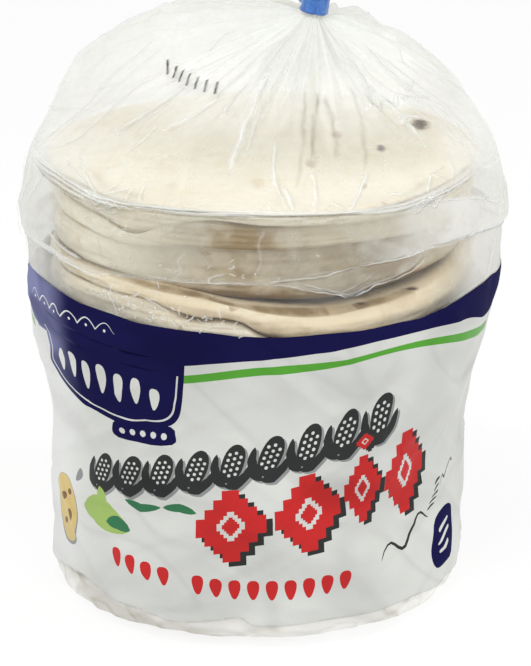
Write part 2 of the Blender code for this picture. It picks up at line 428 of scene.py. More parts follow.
def ink_material(name, colour, painted_light_colour=None, painted_light_name="painted_light_wing", skin=0.10, fold_shade_colour=None):
    """Printed film: ink under a thin skin, a little uneven, with painted shade in its folds, and painted light: paler
    on the loose wings at its sides and, for the white, brighter towards the left.
    """
    made, tree = new_material(name)
    place = object_place(tree)
    cloud = stretch(tree, noise_value(tree, place, 22.0, 3.0, 0.5), 0.3, 0.7)
    shade = tuple(0.86 * part for part in colour)
    tint = mix_colour(tree, cloud, (*shade, 1.0), (*colour, 1.0))
    # Painted shade: the print darkens in the film's folds and under the hem.
    fold = add_node(tree, "ShaderNodeAttribute", attribute_name="fold").outputs["Fac"]
    dark = fold_shade_colour or tuple(0.60 * part for part in colour)
    tint = mix_colour(tree, fold, tint, (*dark, 1.0))
    # Painted light: paler on the loose wings and, for the white, brighter towards the left.
    if painted_light_colour is not None:
        painted_light_wing = add_node(tree, "ShaderNodeAttribute", attribute_name=painted_light_name).outputs["Fac"]
        tint = mix_colour(tree, painted_light_wing, tint, (*painted_light_colour, 1.0))
    fine = noise_value(tree, place, 200.0, 3.0, 0.55)
    wide = noise_value(tree, place, 70.0, 2.0, 0.5)
    ripple = bump_from(tree, maths(tree, "ADD", fine, maths(tree, "MULTIPLY", wide, 2.5)), 0.35, 0.0006)
    shader = add_node(
        tree,
        "ShaderNodeBsdfPrincipled",
        {
            "Base Color": tint,
            "Roughness": 0.38,
            "Specular IOR Level": skin,
            "Coat Weight": 0.05,
            "Coat Roughness": 0.14,
            "Normal": ripple,
        },
    )
    finish_material(tree, shader)
    return made


BROWN_CRUST = (0.20, 0.11, 0.05)
PALE_DOUGH = (0.83, 0.755, 0.60, 1.0), (0.76, 0.65, 0.46, 1.0), (0.86, 0.805, 0.675, 1.0)
# The ledge's dough: a warmer cream, and painted brighter than the rest to stand in for the light it lacks.
WARM_BRIGHTENED_DOUGH = (0.90, 0.775, 0.555, 1.0), (0.82, 0.66, 0.42, 1.0), (0.93, 0.83, 0.64, 1.0)


def tortilla_material(name, dough=PALE_DOUGH, spots=()):
    """Soft maize dough: cream, faintly mottled, with toasted patches, painted shade in its seams and recesses, toasted
    flecks and the spots given.
    """
    made, tree = new_material(name)
    place = object_place(tree)
    cream, warm, pale = dough
    broad = stretch(tree, noise_value(tree, place, 26.0, 3.0, 0.55), 0.35, 0.65)
    tint = mix_colour(tree, broad, cream, pale)
    mottle = stretch(tree, noise_value(tree, place, 85.0, 4.0, 0.62, 0.6), 0.50, 0.82)
    tint = mix_colour(tree, mottle, tint, warm)
    # The shade value holds toasted patches and painted shade in seams, grooves and recesses; above 1 it is painted deep
    # shade.
    shade = add_node(tree, "ShaderNodeAttribute", attribute_name="shade").outputs["Fac"]
    grain_shade = maths(tree, "MULTIPLY", shade, stretch(tree, noise_value(tree, place, 130.0), 0.3, 0.7, 0.6, 1.1))
    tint = mix_colour(tree, grain_shade, tint, (0.31, 0.21, 0.09, 1.0))
    tint = mix_colour(tree, stretch(tree, shade, 1.0, 1.6, 0.0, 0.60), tint, (0.14, 0.09, 0.03, 1.0))
    flecks = stretch(tree, noise_value(tree, place, 150.0, 2.0, 0.5, 0.3), 0.70, 0.76)
    tint = mix_colour(tree, maths(tree, "MULTIPLY", flecks, 0.55), tint, (0.36, 0.22, 0.11, 1.0))
    if spots:
        edge = noise_value(tree, place, 380.0, 3.0, 0.6)
        for x, y, z, size, form, depth, colour in spots:
            shift = add_node(tree, "ShaderNodeVectorMath", {0: place, 1: (x * MM, y * MM, z * MM)}, operation="SUBTRACT")
            squeeze = add_node(tree, "ShaderNodeVectorMath", {0: shift.outputs[0], 1: form}, operation="MULTIPLY")
            far = add_node(tree, "ShaderNodeVectorMath", {0: squeeze.outputs[0]}, operation="LENGTH").outputs["Value"]
            ragged = maths(tree, "ADD", far, maths(tree, "MULTIPLY", edge, size * 0.9 * MM))
            inside = stretch(tree, ragged, size * 0.75 * MM, size * 1.5 * MM, depth, 0.0)
            tint = mix_colour(tree, inside, tint, (*colour, 1.0))
    grain = noise_value(tree, place, 420.0, 5.0, 0.65)
    dimples = noise_value(tree, place, 110.0, 3.0, 0.5)
    height = maths(tree, "ADD", grain, maths(tree, "MULTIPLY", dimples, 1.8))
    shader = add_node(
        tree,
        "ShaderNodeBsdfPrincipled",
        {
            "Base Color": tint,
            "Roughness": 0.78,
            "Specular IOR Level": 0.25,
            "Subsurface Weight": 0.10,
            "Subsurface Radius": (0.004, 0.0028, 0.0016),
            "Subsurface Scale": 1.0,
            "Normal": bump_from(tree, height, 0.6, 0.0009),
        },
    )
    finish_material(tree, shader)
    return made


def tape_material():
    """Blue glossy tape with fine creases."""
    made, tree = new_material("blue tape")
    place = object_place(tree)
    # Fine patches of paler blue.
    paler_blue_patches = stretch(tree, noise_value(tree, place, 420.0, 4.0, 0.65, 1.0), 0.35, 0.75)
    tint = mix_colour(tree, paler_blue_patches, (0.012, 0.095, 0.40, 1.0), (0.05, 0.22, 0.58, 1.0))
    ripple = bump_from(tree, noise_value(tree, place, 520.0, 4.0, 0.6, 1.5), 0.6, 0.0006)
    shader = add_node(
        tree,
        "ShaderNodeBsdfPrincipled",
        {"Base Color": tint, "Roughness": 0.28, "Coat Weight": 0.5, "Coat Roughness": 0.1, "Normal": ripple},
    )
    finish_material(tree, shader)
    return made


def floor_material():
    """A lit white table: bright all over, with only a faint shadow."""
    made, tree = new_material("white table")
    place = object_place(tree)
    cloud = stretch(tree, noise_value(tree, place, 1.5, 2.0, 0.5), 0.3, 0.7)
    tint = mix_colour(tree, cloud, (0.93, 0.93, 0.93, 1.0), (0.95, 0.95, 0.95, 1.0))
    matt = add_node(tree, "ShaderNodeBsdfDiffuse", {"Color": tint})
    glow = add_node(tree, "ShaderNodeEmission", {"Color": (1.0, 1.0, 1.0, 1.0), "Strength": 1.0})
    shader = add_node(tree, "ShaderNodeMixShader", {0: 0.8, 1: matt.outputs[0], 2: glow.outputs[0]})
    finish_material(tree, shader)
    return made


# ---------------------------------------------------------------- the print


WHITE, NAVY, GREEN, BLACK, GREY, RED, YELLOW, BROWN, LEAF, DARK_GREEN, FOOT = range(11)


def ink_materials():
    return [
        ink_material("white ink", (0.635, 0.645, 0.612), (0.86, 0.87, 0.86), "pale"),
        ink_material("navy ink", (0.009, 0.008, 0.060), (0.215, 0.23, 0.40), skin=0.0),
        ink_material("green ink", (0.09, 0.35, 0.035), (0.40, 0.52, 0.36)),
        ink_material("black ink", (0.026, 0.029, 0.028)),
        ink_material("grey ink", (0.27, 0.28, 0.275)),
        ink_material("red ink", (0.55, 0.022, 0.022)),
        ink_material("yellow ink", (0.66, 0.50, 0.19)),
        ink_material("brown ink", (0.20, 0.11, 0.04)),
        ink_material("leaf ink", (0.33, 0.47, 0.13)),
        ink_material("dark green ink", (0.035, 0.17, 0.075)),
        # Its dark fold colour is the painted shadow under the hem.
        ink_material("foot film", (0.92, 0.91, 0.87), fold_shade_colour=(0.36, 0.34, 0.27)),
    ]


def band_top(across):
    """The upper edge of the navy band, where the printed film gives way to clear film."""
    points = ((-215, 118), (-150, 119.5), (-118, 117), (-104, 121.5), (-88, 122.6), (-77, 121.8), (-65, 120.6))
    points += ((-51, 119.4), (-37, 118), (-18, 117.2), (1, 116.4), (20, 116.8), (33, 116.6), (47, 117.3))
    points += ((56, 117.3), (63, 118.9), (73, 119.9), (84, 120.9), (94, 120.6), (106, 118.4))
    points += ((125, 119), (160, 116))
    return curve_through(points, across, tau * PRINT_RADIUS)


def band_bottom(across):
    points = ((-215, 107), (-170, 110), (-135, 108), (-108, 103), (-72, 102), (-60, 102.2), (-34, 103.8))
    points += ((1, 108.3), (14, 109.6), (28, 110.6), (40, 111.8), (54, 112.2), (66, 111.9), (80, 110.0))
    points += ((96, 105), (125, 107))
    points += ((160, 104),)
    return curve_through(points, across, tau * PRINT_RADIUS)


def stripe_middle(across):
    points = ((-215, 101), (-160, 104), (-120, 101), (-70, 96.5), (-30, 98.9), (1, 104.2), (28, 105.6))
    points += ((47, 107.6), (64, 106.6), (81, 103.2), (100, 99.5), (130, 101), (165, 98))
    return curve_through(points, across, tau * PRINT_RADIUS)


def strip_between(low, high, start, end, step=2.0):
    """An outline between two lines that run across the print."""
    places = np.linspace(start, end, max(int(abs(end - start) / step), 2))
    lower = [(x, float(y)) for x, y in zip(places, low(places))]
    upper = [(x, float(y)) for x, y in zip(places, high(places))]
    return lower + upper[::-1]


def turned(points, place, tilt=0.0, slant=0.0, scale=(1.0, 1.0)):
    """Points scaled, leant over by a share of their height, turned and put in place."""
    made = []
    for x, y in points:
        x, y = x * scale[0] + y * scale[1] * slant, y * scale[1]
        made.append((place[0] + x * cos(tilt) - y * sin(tilt), place[1] + x * sin(tilt) + y * cos(tilt)))
    return made


def oval(count=28, power=2.0):
    """A closed outline one unit wide and high: round, or squarer with a higher power."""
    made = []
    for k in range(count):
        c, s = cos(tau * k / count), sin(tau * k / count)
        size = (abs(c) ** power + abs(s) ** power) ** (-1.0 / power)
        made.append((0.5 * size * c, 0.5 * size * s))
    return made


def kernel_outline(count=26):
    """A maize kernel: broad and round above, narrow and blunt below, one unit wide and high."""
    made = []
    for k in range(count):
        turn = tau * k / count
        high = 0.5 * sin(turn)
        half = 0.5 * abs(cos(turn)) ** 0.8 * (0.72 + 0.56 * high)
        made.append((half if cos(turn) > 0.0 else -half, high))
    return made


def stepped_diamond(steps=3):
    """A diamond with stepped edges, as in woven cloth, one unit wide and high."""
    quarter = []
    for k in range(steps):
        quarter += [(0.5 * (steps - k) / steps, 0.5 * k / steps), (0.5 * (steps - k) / steps, 0.5 * (k + 1) / steps)]
    made = []
    for sign_x, sign_y, order in ((1, 1, 1), (-1, 1, -1), (-1, -1, 1), (1, -1, -1)):
        made += [(sign_x * x, sign_y * y) for x, y in quarter[::order]]
    return [point for k, point in enumerate(made) if point != made[k - 1]]


def brush_stroke(points, width):
    """An outline along a line, as wide as given in the middle and pointed at both ends."""
    count = 4 * (len(points) - 1) + 1
    steps = np.linspace(0.0, len(points) - 1.0, count)
    xs = np.interp(steps, range(len(points)), [x for x, _ in points])
    ys = np.interp(steps, range(len(points)), [y for _, y in points])
    dx, dy = np.gradient(xs), np.gradient(ys)
    size = np.hypot(dx, dy)
    half = 0.5 * width * (0.12 + np.sin(np.linspace(0.0, pi, count)) ** 0.6)
    left = [(x - h * b / n, y + h * a / n) for x, y, a, b, n, h in zip(xs, ys, dx, dy, size, half)]
    right = [(x + h * b / n, y - h * a / n) for x, y, a, b, n, h in zip(xs, ys, dx, dy, size, half)]
    return [(float(x), float(y)) for x, y in right + left[::-1]]


def print_shapes():
    """Every printed field as (ink, outline), each over the ones before it."""
    shapes = [(FOOT, strip_between(lambda x: 0.0 * x - FOOT_HEIGHT, hem_height, -PRINT_HALF, PRINT_HALF, 1.0))]
    shapes.append((NAVY, strip_between(band_bottom, lambda x: band_top(x) + 1.0, -PRINT_HALF, PRINT_HALF)))
    shapes += stripe_shapes()
    shapes += scallop_badge((-57.5, 103.0))
    shapes += band_garland(-100.0, -50.0, 112.5)
    shapes += scallop_badge((150.0, 106.0))
    shapes += cob_row(-62.0, 43.0, 9, (57.0, 82.0), (15.0, 19.5))
    shapes += diamond_row(((-9.5, 46.0, 25.0, 26.0), (17.5, 50.5, 24.0, 27.5), (38.0, 56.5, 14.0, 25.0)))
    shapes += diamond_row(((57.0, 58.5, 20.0, 31.0), (37.5, 74.5, 6.5, 6.0)))
    shapes += small_kernel_arc()
    shapes += garden_shapes()
    shapes += flourish_shapes()
    shapes += round_tag((82.5, 25.0))
    shapes += back_shapes()
    return shapes


def stripe_shapes():
    def half(x):
        return 1.50 - 0.55 * np.exp(-(((x - 40.0) / 20.0) ** 2)) + 0.25 * ramp(62.0, 90.0, x)

    def low(x):
        return stripe_middle(x) - half(x)

    def high(x):
        return stripe_middle(x) + half(x)

    front = strip_between(low, high, -29.0, 104.0)
    front[0] = (front[0][0] + 1.4, front[0][1])
    back = strip_between(low, high, 112.0, PRINT_HALF)
    far = strip_between(low, high, -PRINT_HALF, -104.0)
    return [(GREEN, front), (GREEN, back), (GREEN, far)]


def scallop_badge(middle):
    """A navy tab with a scalloped foot that hangs from the band, lined in white, with white kernels on it."""
    x, y = middle
    tilt = radians(-5.0)

    def tab(width, depth, lobes, count=60):
        made = []
        for k in range(count + 1):
            turn = pi + pi * k / count
            wave = 1.0 + lobes * abs(cos(3.5 * (turn - pi)))
            made.append((0.5 * width * cos(turn), depth * wave * -(abs(sin(turn)) ** 0.32)))
        return made

    shapes = [(NAVY, turned(tab(63.0, 23.5, 0.05) + [(31.5, 5.0), (-31.5, 5.0)], middle, tilt))]
    for width, depth, ink in ((59.0, 21.6, WHITE), (57.8, 21.0, NAVY)):
        shapes.append((ink, turned(tab(width, depth, 0.05), middle, tilt)))
    for k in range(7):
        across, tall = -21.6 + 7.2 * k, 11.6 - 0.35 * (k - 3) ** 2
        kernel = turned(kernel_outline(), (across, -10.6 + 1.2 * (k % 2)), scale=(5.4 - 0.15 * abs(k - 3), tall))
        shapes.append((WHITE, turned(kernel, middle, tilt)))
    shapes.append((NAVY, turned(oval(24, 5.0), (x + 15.0, y - 26.6), radians(5.0), 0.0, (26.0, 7.6))))
    for k in range(5):
        place = (x + 6.4 + 4.3 * k, y - 27.5 + 0.35 * k)
        shapes.append((WHITE, turned(oval(10), place, 0.0, 0.0, (2.4, 2.4))))
    return shapes


def band_garland(start, end, height):
    """A thin white line of arches on the band, with a dot under each arch."""
    places = np.linspace(start, end, 61)
    arches = [(float(x), height + 3.2 * abs(sin(pi * (x - start) / 8.34))) for x in places]
    shapes = [(WHITE, brush_stroke(arches, 0.5))]
    for k in range(6):
        shapes.append((WHITE, turned(oval(10), (start + 4.17 + 8.34 * k, height + 0.5), 0.0, 0.0, (1.1, 1.1))))
    return shapes


def cob_shapes(place, tilt, wide, tall):
    """One ear of maize: a black cob with rows of pale kernels, between two black husk leaves."""
    left = brush_stroke(((0.02, -0.48), (-0.28, -0.38), (-0.46, -0.12), (-0.50, 0.16)), 0.22)
    right = brush_stroke(((-0.02, -0.48), (0.28, -0.38), (0.46, -0.12), (0.50, 0.16)), 0.22)
    cob = [(0.60 * x, 0.90 * y + 0.05) for x, y in oval(24, 2.2)]
    shapes = [(BLACK, part) for part in (left, right, cob)]
    for column in (-1, 0, 1):
        for row in range(5 if column == 0 else 4):
            middle = (0.155 * column, 0.13 * row - (0.22 if column == 0 else 0.155))
            shapes.append((WHITE, turned(oval(10, 3.0), middle, 0.0, 0.0, (0.088, 0.070))))
    return [(ink, turned(part, place, tilt, 0.10, (wide, tall))) for ink, part in shapes]


def cob_row(start, end, count, heights, sizes):
    """A rising row of slanted black ears of maize with grey shadows."""
    shadows, faces = [], []
    for k in range(count):
        share = k / (count - 1.0)
        x = start + (end - start) * share
        y = heights[0] + (heights[1] - heights[0]) * share**1.15
        tall = sizes[0] + (sizes[1] - sizes[0]) * share
        tilt = radians(-16.0 + 10.0 * share - 3.0 * (k % 2))
        shapes = cob_shapes((x, y), tilt, 12.6, tall)
        faces += shapes
        shadows += [(GREY, [(a + 0.9, b - 0.8) for a, b in outline]) for ink, outline in shapes if ink == BLACK]
    return shadows + faces


def diamond_row(places):
    """Big red stepped diamonds with black shadows to the right, and pale steps in each."""
    shapes = []
    for x, y, wide, tall in places:
        for ink, dx, dy, size in (
            (BLACK, 2.2, -1.3, 1.0), (RED, 0.0, 0.0, 1.0), (WHITE, 0.0, 0.0, 0.40), (RED, 0.0, 0.0, 0.25)
        ):
            outline = turned(stepped_diamond(4), (x + dx, y + dy), radians(9.0), 0.12, (wide * size, tall * size))
            shapes.append((ink, outline))
    return shapes


def small_kernel_arc():
    """A shallow arc of small red kernels below."""
    shapes = []
    for k in range(14):
        if k == 4:
            continue
        x = -53.0 + 84.0 * k / 13.0
        y = 22.4 + 5.0 * ((x - 8.0) / 61.0) ** 2 * (1.0 if x < 8.0 else 2.5)
        tilt = radians(-0.22 * (x - 8.0) * (-1.0))
        shapes.append((RED, turned(kernel_outline(18), (x, y), tilt * -0.6, 0.0, (5.6, 7.2))))
    return shapes


def garden_shapes():
    """A tortilla half round the left side, two leaves beside it, and two dark green brush strokes."""
    shapes = [(GREY, turned(oval(30, 2.3), (-86.0, 34.2), radians(12.0), 0.0, (19.4, 26.4)))]
    shapes.append((YELLOW, turned(oval(30, 2.3), (-86.2, 34.7), radians(12.0), 0.0, (18.2, 25.0))))
    for x, y, wide, tall in ((-87.5, 39.0, 5.2, 3.0), (-82.0, 33.5, 3.4, 4.6), (-88.0, 29.0, 4.0, 2.4), (-83.0, 42.0, 3.0, 2.4)):
        shapes.append((BROWN, turned(oval(14), (x, y), radians(25.0), 0.0, (wide, tall))))
    shapes.append((GREY, turned(kernel_outline(16), (-76.5, 50.5), radians(-40.0), 0.0, (4.8, 6.2))))
    shapes.append((LEAF, brush_stroke(((-70.5, 41.5), (-63.5, 43.0), (-57.0, 40.5), (-48.0, 38.5)), 9.5)))
    shapes.append((DARK_GREEN, brush_stroke(((-58.0, 39.5), (-53.0, 40.3), (-47.6, 38.6)), 4.6)))
    shapes.append((LEAF, brush_stroke(((-62.0, 42.5), (-61.0, 47.0), (-63.0, 51.0)), 4.2)))
    shapes.append((DARK_GREEN, brush_stroke(((-50.0, 49.8), (-43.0, 48.4), (-35.0, 50.2)), 2.6)))
    shapes.append((DARK_GREEN, brush_stroke(((-34.0, 50.4), (-28.0, 51.0), (-22.0, 49.6)), 2.8)))
    return shapes


def flourish_shapes():
    """Thin black pen curls."""
    shapes = []
    first = [(46.0 + 5.5 * t, 27.5 + 2.6 * t + 3.4 * sin(2.3 * t)) for t in np.linspace(0.0, 4.6, 16)]
    second = [(79.5 + 3.2 * t, 46.0 + 2.0 * t + 1.9 * sin(3.1 * t)) for t in np.linspace(0.0, 3.6, 13)]
    shapes.append((BLACK, brush_stroke(first, 1.1)))
    shapes.append((BLACK, brush_stroke(second, 0.9)))
    for k in range(5):
        x, y = 73.0 + 0.9 * k, 39.5 + 2.2 * k
        shapes.append((BLACK, brush_stroke(((x - 2.4, y - 0.6), (x, y + 0.5), (x + 2.6, y + 0.9)), 0.9)))
    return shapes


def round_tag(middle):
    """A navy roundel with three short white bars."""
    x, y = middle
    shapes = [(NAVY, turned(oval(30, 2.6), (x, y), radians(16.0), 0.12, (19.0, 22.0)))]
    for wide, dy in ((9.0, 4.6), (11.5, 0.4), (8.0, -3.8)):
        shapes.append((WHITE, turned(oval(16, 6.0), (x, y + dy), radians(16.0), 0.0, (wide, 1.7))))
    return shapes


def back_shapes():
    """The back panel: a big tortilla with leaves, and a row of red kernels under it."""
    shapes = [(GREY, turned(oval(48), (-176.0, 60.5), 0.0, 0.0, (53.0, 51.0)))]
    shapes.append((YELLOW, turned(oval(48), (-176.5, 61.0), 0.0, 0.0, (51.0, 49.0))))
    for k in range(9):
        turn = 2.4 * k
        place = (-176.5 + 6.2 * k**0.5 * 2.2 * cos(turn) * 0.55, 61.0 + 6.4 * k**0.5 * 1.1 * sin(turn))
        shapes.append((BROWN, turned(oval(14), place, turn, 0.0, (3.6 + 0.5 * (k % 3), 2.6))))
    for x, tilt in ((-206.0, 60.0), (-147.0, 120.0)):
        leaf = brush_stroke(((-11.0, 0.0), (0.0, 1.5), (11.0, 0.0)), 8.0)
        shapes.append((LEAF, turned(leaf, (x, 48.0), radians(tilt))))
    for k in range(12):
        shapes.append((RED, turned(kernel_outline(18), (127.0 + 7.2 * k, 24.0), 0.0, 0.0, (4.7, 7.0))))
    shapes += cob_row(130.0, 204.0, 7, (62.0, 66.0), (16.0, 16.0))
    return shapes


def printed_sheet():
    """The printed film as one sheet, cut along the edges of its inks."""
    across = np.linspace(-PRINT_HALF, PRINT_HALF, int(2.0 * PRINT_HALF / PRINT_STEP) + 1)
    rows = np.arange(-FOOT_HEIGHT + PRINT_STEP, 122.0, PRINT_STEP)
    grid_x, grid_y = np.meshgrid(across[1:-1], rows)
    inside = grid_y < band_top(grid_x) - 0.6 * PRINT_STEP
    top = band_top(across)
    outline = [(x, -FOOT_HEIGHT) for x in across]
    sides = [y for y in rows if y < top[0] - 0.6 * PRINT_STEP]
    outline += [(PRINT_HALF, y) for y in sides]
    outline += [(x, float(y)) for x, y in zip(across[::-1], top[::-1])]
    outline += [(-PRINT_HALF, y) for y in sides[::-1]]
    outlines = [(WHITE, outline)] + print_shapes()
    points, faces = [], []
    for _, loop in outlines:
        faces.append(list(range(len(points), len(points) + len(loop))))
        points += [Vector((float(x), float(y))) for x, y in loop]
    points += [Vector((float(x), float(y))) for x, y in zip(grid_x[inside], grid_y[inside])]
    made = delaunay_2d_cdt(points, [], faces, 1, 1e-4)
    places = np.array([(p.x, p.y) for p in made[0]])
    inside_sheet = [k for k, owners in enumerate(made[5]) if 0 in owners]
    triangles = [made[2][k] for k in inside_sheet]
    inks = [outlines[max(made[5][k])][0] for k in inside_sheet]
    return places, triangles, inks


def make_printed_film(inks):
    places, triangles, colours = printed_sheet()
    angle = places[:, 0] / PRINT_RADIUS - pi / 2.0
    points = printed_point(angle, places[:, 1])
    bm = bmesh.new()
    wing_light_layer = bm.verts.layers.float.new("painted_light_wing")
    side_light_layer = bm.verts.layers.float.new("pale")
    fold_shade_layer = bm.verts.layers.float.new("fold")
    verts = [bm.verts.new(p) for p in (points * MM).tolist()]
    # Painted light on the wings and the white's left side, and painted shade in the folds, as point values.
    shares = [share(angle, places[:, 1]) for share in (painted_wing_light_share, painted_side_light_share, painted_fold_shade)]
    for vert, *values in zip(verts, *shares):
        for layer, value in zip((wing_light_layer, side_light_layer, fold_shade_layer), values):
            vert[layer] = float(value)
    for corners, ink in zip(triangles, colours):
        if len(set(corners)) == 3:
            face = bm.faces.new([verts[k] for k in corners])
            face.material_index = ink
    add_base(bm, fold_shade_layer)
    bmesh.ops.remove_doubles(bm, verts=bm.verts, dist=0.02 * MM)
    loose = [v for v in bm.verts if not v.link_faces]
    bmesh.ops.delete(bm, geom=loose, context="VERTS")
    bmesh.ops.recalc_face_normals(bm, faces=bm.faces)
    mesh = bpy.data.meshes.new("printed_film")
    bm.to_mesh(mesh)
    bm.free()
    return new_object("printed_film", mesh, inks)


def painted_wing_light_share(angle, path):
    """Painted light: where loose film with nothing behind it has its print painted paler, as light through it would
    make it.
    """
    left = ramp(0.80, 0.94, -np.cos(angle)) * ramp(60.0, 96.0, path)
    patch = ramp(-0.5, 0.5, turn_noise(angle + 0.004 * path, path / 9.0, 44, 54))
    return left * (0.50 + 0.50 * patch)


def painted_side_light_share(angle, path):
    """Painted light: where the white print is painted brighter, towards its left side."""
    left = ramp(0.72, 0.94, -np.cos(angle))
    return 0.42 * left + 0.0 * path


def painted_fold_shade(angle, path):
    """Painted shade on the print: grey in the film's folds, a painted shadow under the hem, and grey in its crumpled
    foot.
    """
    broad = ramp(0.10, 0.9, turn_noise(angle + 0.004 * path, path / 14.0, 13, 51))
    thin = ramp(0.45, 1.0, crest_noise(angle + 0.012 * path, path / 24.0, 21, 52))
    steep = ramp(0.5, 1.0, crest_noise(angle - 0.02 * path, path / 30.0, 26, 53))
    hem = path - hem_height((angle + pi / 2.0) * PRINT_RADIUS)
    patchy = 0.45 + 0.55 * ramp(-0.3, 0.5, turn_noise(angle, 0.5, 31, 55))
    at_left = 0.35 + 0.65 * ramp(0.35, 0.70, -np.cos(angle))
    shadow = 0.95 * patchy * at_left * ramp(-3.4, -0.2, hem) * (hem < -0.02)
    crumple = 0.2 * ramp(0.2, 0.9, crest_noise(angle, path / 9.0, 44, 7)) * (hem < 0.0)
    return np.clip(0.46 * broad + 0.22 * thin + 0.15 * steep + shadow + crumple, 0.0, 1.0)


def add_base(bm, fold_shade_layer):
    """The film's underside: flat, with a few low folds towards its middle."""
    count = int(2.0 * PRINT_HALF / PRINT_STEP)
    angle = np.linspace(-PRINT_HALF, PRINT_HALF, count + 1)[:-1] / PRINT_RADIUS - pi / 2.0
    edge = printed_point(angle, np.full(count, -FOOT_HEIGHT))
    centre = np.array((stack_lean(0.0), 0.0, 0.0))
    rings = []
    for share in (1.0, 0.8, 0.6, 0.4, 0.2):
        ring = centre + (edge - centre) * share
        ring[:, 2] = 0.5 * (1.0 - share) * share * (1.0 + folds(angle))
        rings.append([bm.verts.new(p) for p in (ring * MM).tolist()])
        # Painted shade on the underside.
        for vert in rings[-1]:
            vert[fold_shade_layer] = 0.4
    tip = bm.verts.new((centre * MM).tolist())
    for outer, inner in zip(rings, rings[1:]):
        for k in range(count):
            j = (k + 1) % count
            bm.faces.new((outer[j], outer[k], inner[k], inner[j]))
    for k in range(count):
        bm.faces.new((rings[-1][(k + 1) % count], rings[-1][k], tip))


# ---------------------------------------------------------------- the clear film


def lip_low(across):
    """Height of the lower edge where the slack film hangs over."""
    points = ((-215, 133), (-150, 130), (-100, 134), (-82, 134), (-61, 133), (-37, 134.5), (-20, 135.3))
    points += ((-6, 135.2), (4, 136.0), (13, 133.8), (21, 131.8), (27.5, 129.6), (36, 132.8), (44, 134.7))
    points += ((50, 137.0), (55, 141.0), (66, 142.0), (80, 141.0), (110, 135), (160, 131))
    return curve_through(points, across, tau * PRINT_RADIUS)


def lip_overlap(across):
    """How far the film doubles back up behind that edge."""
    points = ((-215, 3), (-150, 4), (-100, 2), (-82, 1.5), (-61, 1.2), (-37, 1.0), (-14, 1.2), (2, 1.6))
    points += ((11, 4.5), (21, 7.4), (30, 9.6), (38, 8.2), (46, 6.6), (51, 4.4), (56, 1.6), (76, 1.4))
    points += ((110, 2), (160, 4))
    return curve_through(points, across, tau * PRINT_RADIUS)


def roof_rim(angle):
    """The line where the wall turns into the roof."""
    radius = wall_radius(angle, RIM_HEIGHT) + wall_relief(angle, RIM_HEIGHT) + LIP_DEPTH
    return points_at(angle, radius, lifted(angle, RIM_HEIGHT), stack_lean(RIM_HEIGHT))


def roof_relief(angle, share, radius):
    """How far small creases lift the roof film, in mm."""
    back = behind(angle)
    loose = np.sin(pi * np.clip(share, 0.0, 1.0)) ** 0.6
    streak = crest_noise(angle + 0.25 * share, share * 2.2, 46, 21)
    long_streak = crest_noise(angle - 0.15 * share, share * 1.3, 26, 22)
    crumple = crest_noise(angle + 0.8 * share, share * 6.0, 22, 23)
    ripples = turn_noise(angle, share * 9.0, 60, 24)
    relief = loose * (0.22 + 0.50 * back) * (0.6 * streak + 0.7 * long_streak)
    relief = relief + loose * back * 0.9 * crumple + loose * 0.2 * ripples
    wander = 2.6 * turn_noise(angle, share * 2.0, 9, 25)
    gather = ramp(0.34, 0.95, share) * 0.062 * radius * zigzag(21.0 * angle + wander)
    pleat = ramp(0.25, 0.8, share) * 0.022 * radius * zigzag(47.0 * angle + 1.7 * wander)
    return (relief + gather + pleat) * ramp(0.0, 0.05, share)


def roof_film(angle, share):
    """Points and outward directions of the creased roof film."""
    point = roof_point(angle, share, roof_rim(angle))
    outward = points_at(angle, 1.0, 0.0)
    up = np.array((0.0, 0.0, 1.0))
    back = behind(angle)
    tilt = (0.62 + (share - 0.62 + 0.1) * back) * pi / 2.0
    direction = outward * np.cos(tilt)[..., None] + up * np.sin(tilt)[..., None]
    radius = np.linalg.norm(point - NECK_BASE, axis=-1)
    return point + direction * roof_relief(angle, share, radius)[..., None], direction


def wall_film(angle, height):
    """Points and outward directions of the clear film where it stands round the stack."""
    over = ramp(-0.4, 0.4, height - lip_low(across_front(angle)))
    radius = wall_radius(angle, height) + wall_relief(angle, height) + 0.5 + (LIP_DEPTH + 0.4) * over
    outward = points_at(angle, 1.0, 0.0)
    return points_at(angle, radius, lifted(angle, height), stack_lean(height)), outward


def across_front(angle):
    """Where an angle lies across the front, in mm from its middle."""
    return ((angle + pi / 2.0 + pi) % tau - pi) * PRINT_RADIUS


def roof_haze(angle, share):
    """How milky the roof film is: gathered film is white, taut film is clear."""
    back = behind(angle)
    wander = share + 0.05 * turn_noise(angle, share * 4.0, 12, 31)
    right_half = 0.10 * ramp(-92.0, -78.0, np.degrees(angle)) * (1.0 - back)
    taut = 0.13 + right_half + 0.30 * ramp(0.24, 0.50, wander) + 0.48 * ramp(0.46, 0.66, wander)
    loose = 0.30 + 0.50 * ramp(0.45, 0.85, wander)
    haze = taut + (loose - taut) * back + 0.16 * np.abs(np.cos(angle)) ** 4 * (1.0 - back)
    patch = ramp(-0.2, 0.7, crest_noise(angle + 0.3 * share, share * 2.4, 30, 32))
    haze = haze + 0.16 * patch * (0.35 + 0.65 * back)
    side = ramp(0.72, 1.0, np.abs(np.cos(angle))) * ramp(0.30, 0.05, share)
    haze = haze + 0.38 * side + 0.12 * behind(angle) * ramp(0.5, 0.2, share)
    hole = np.exp(-(((angle % tau - radians(327.0)) / 0.09) ** 2) - ((share - 0.30) / 0.06) ** 2)
    haze = haze * (1.0 - 0.75 * hole)
    blob = np.exp(-(((angle % tau - radians(325.0)) / 0.24) ** 2) - ((share - 0.49) / 0.09) ** 2)
    return haze + 0.9 * blob * (0.7 + 0.5 * turn_noise(angle, share * 9.0, 40, 33))


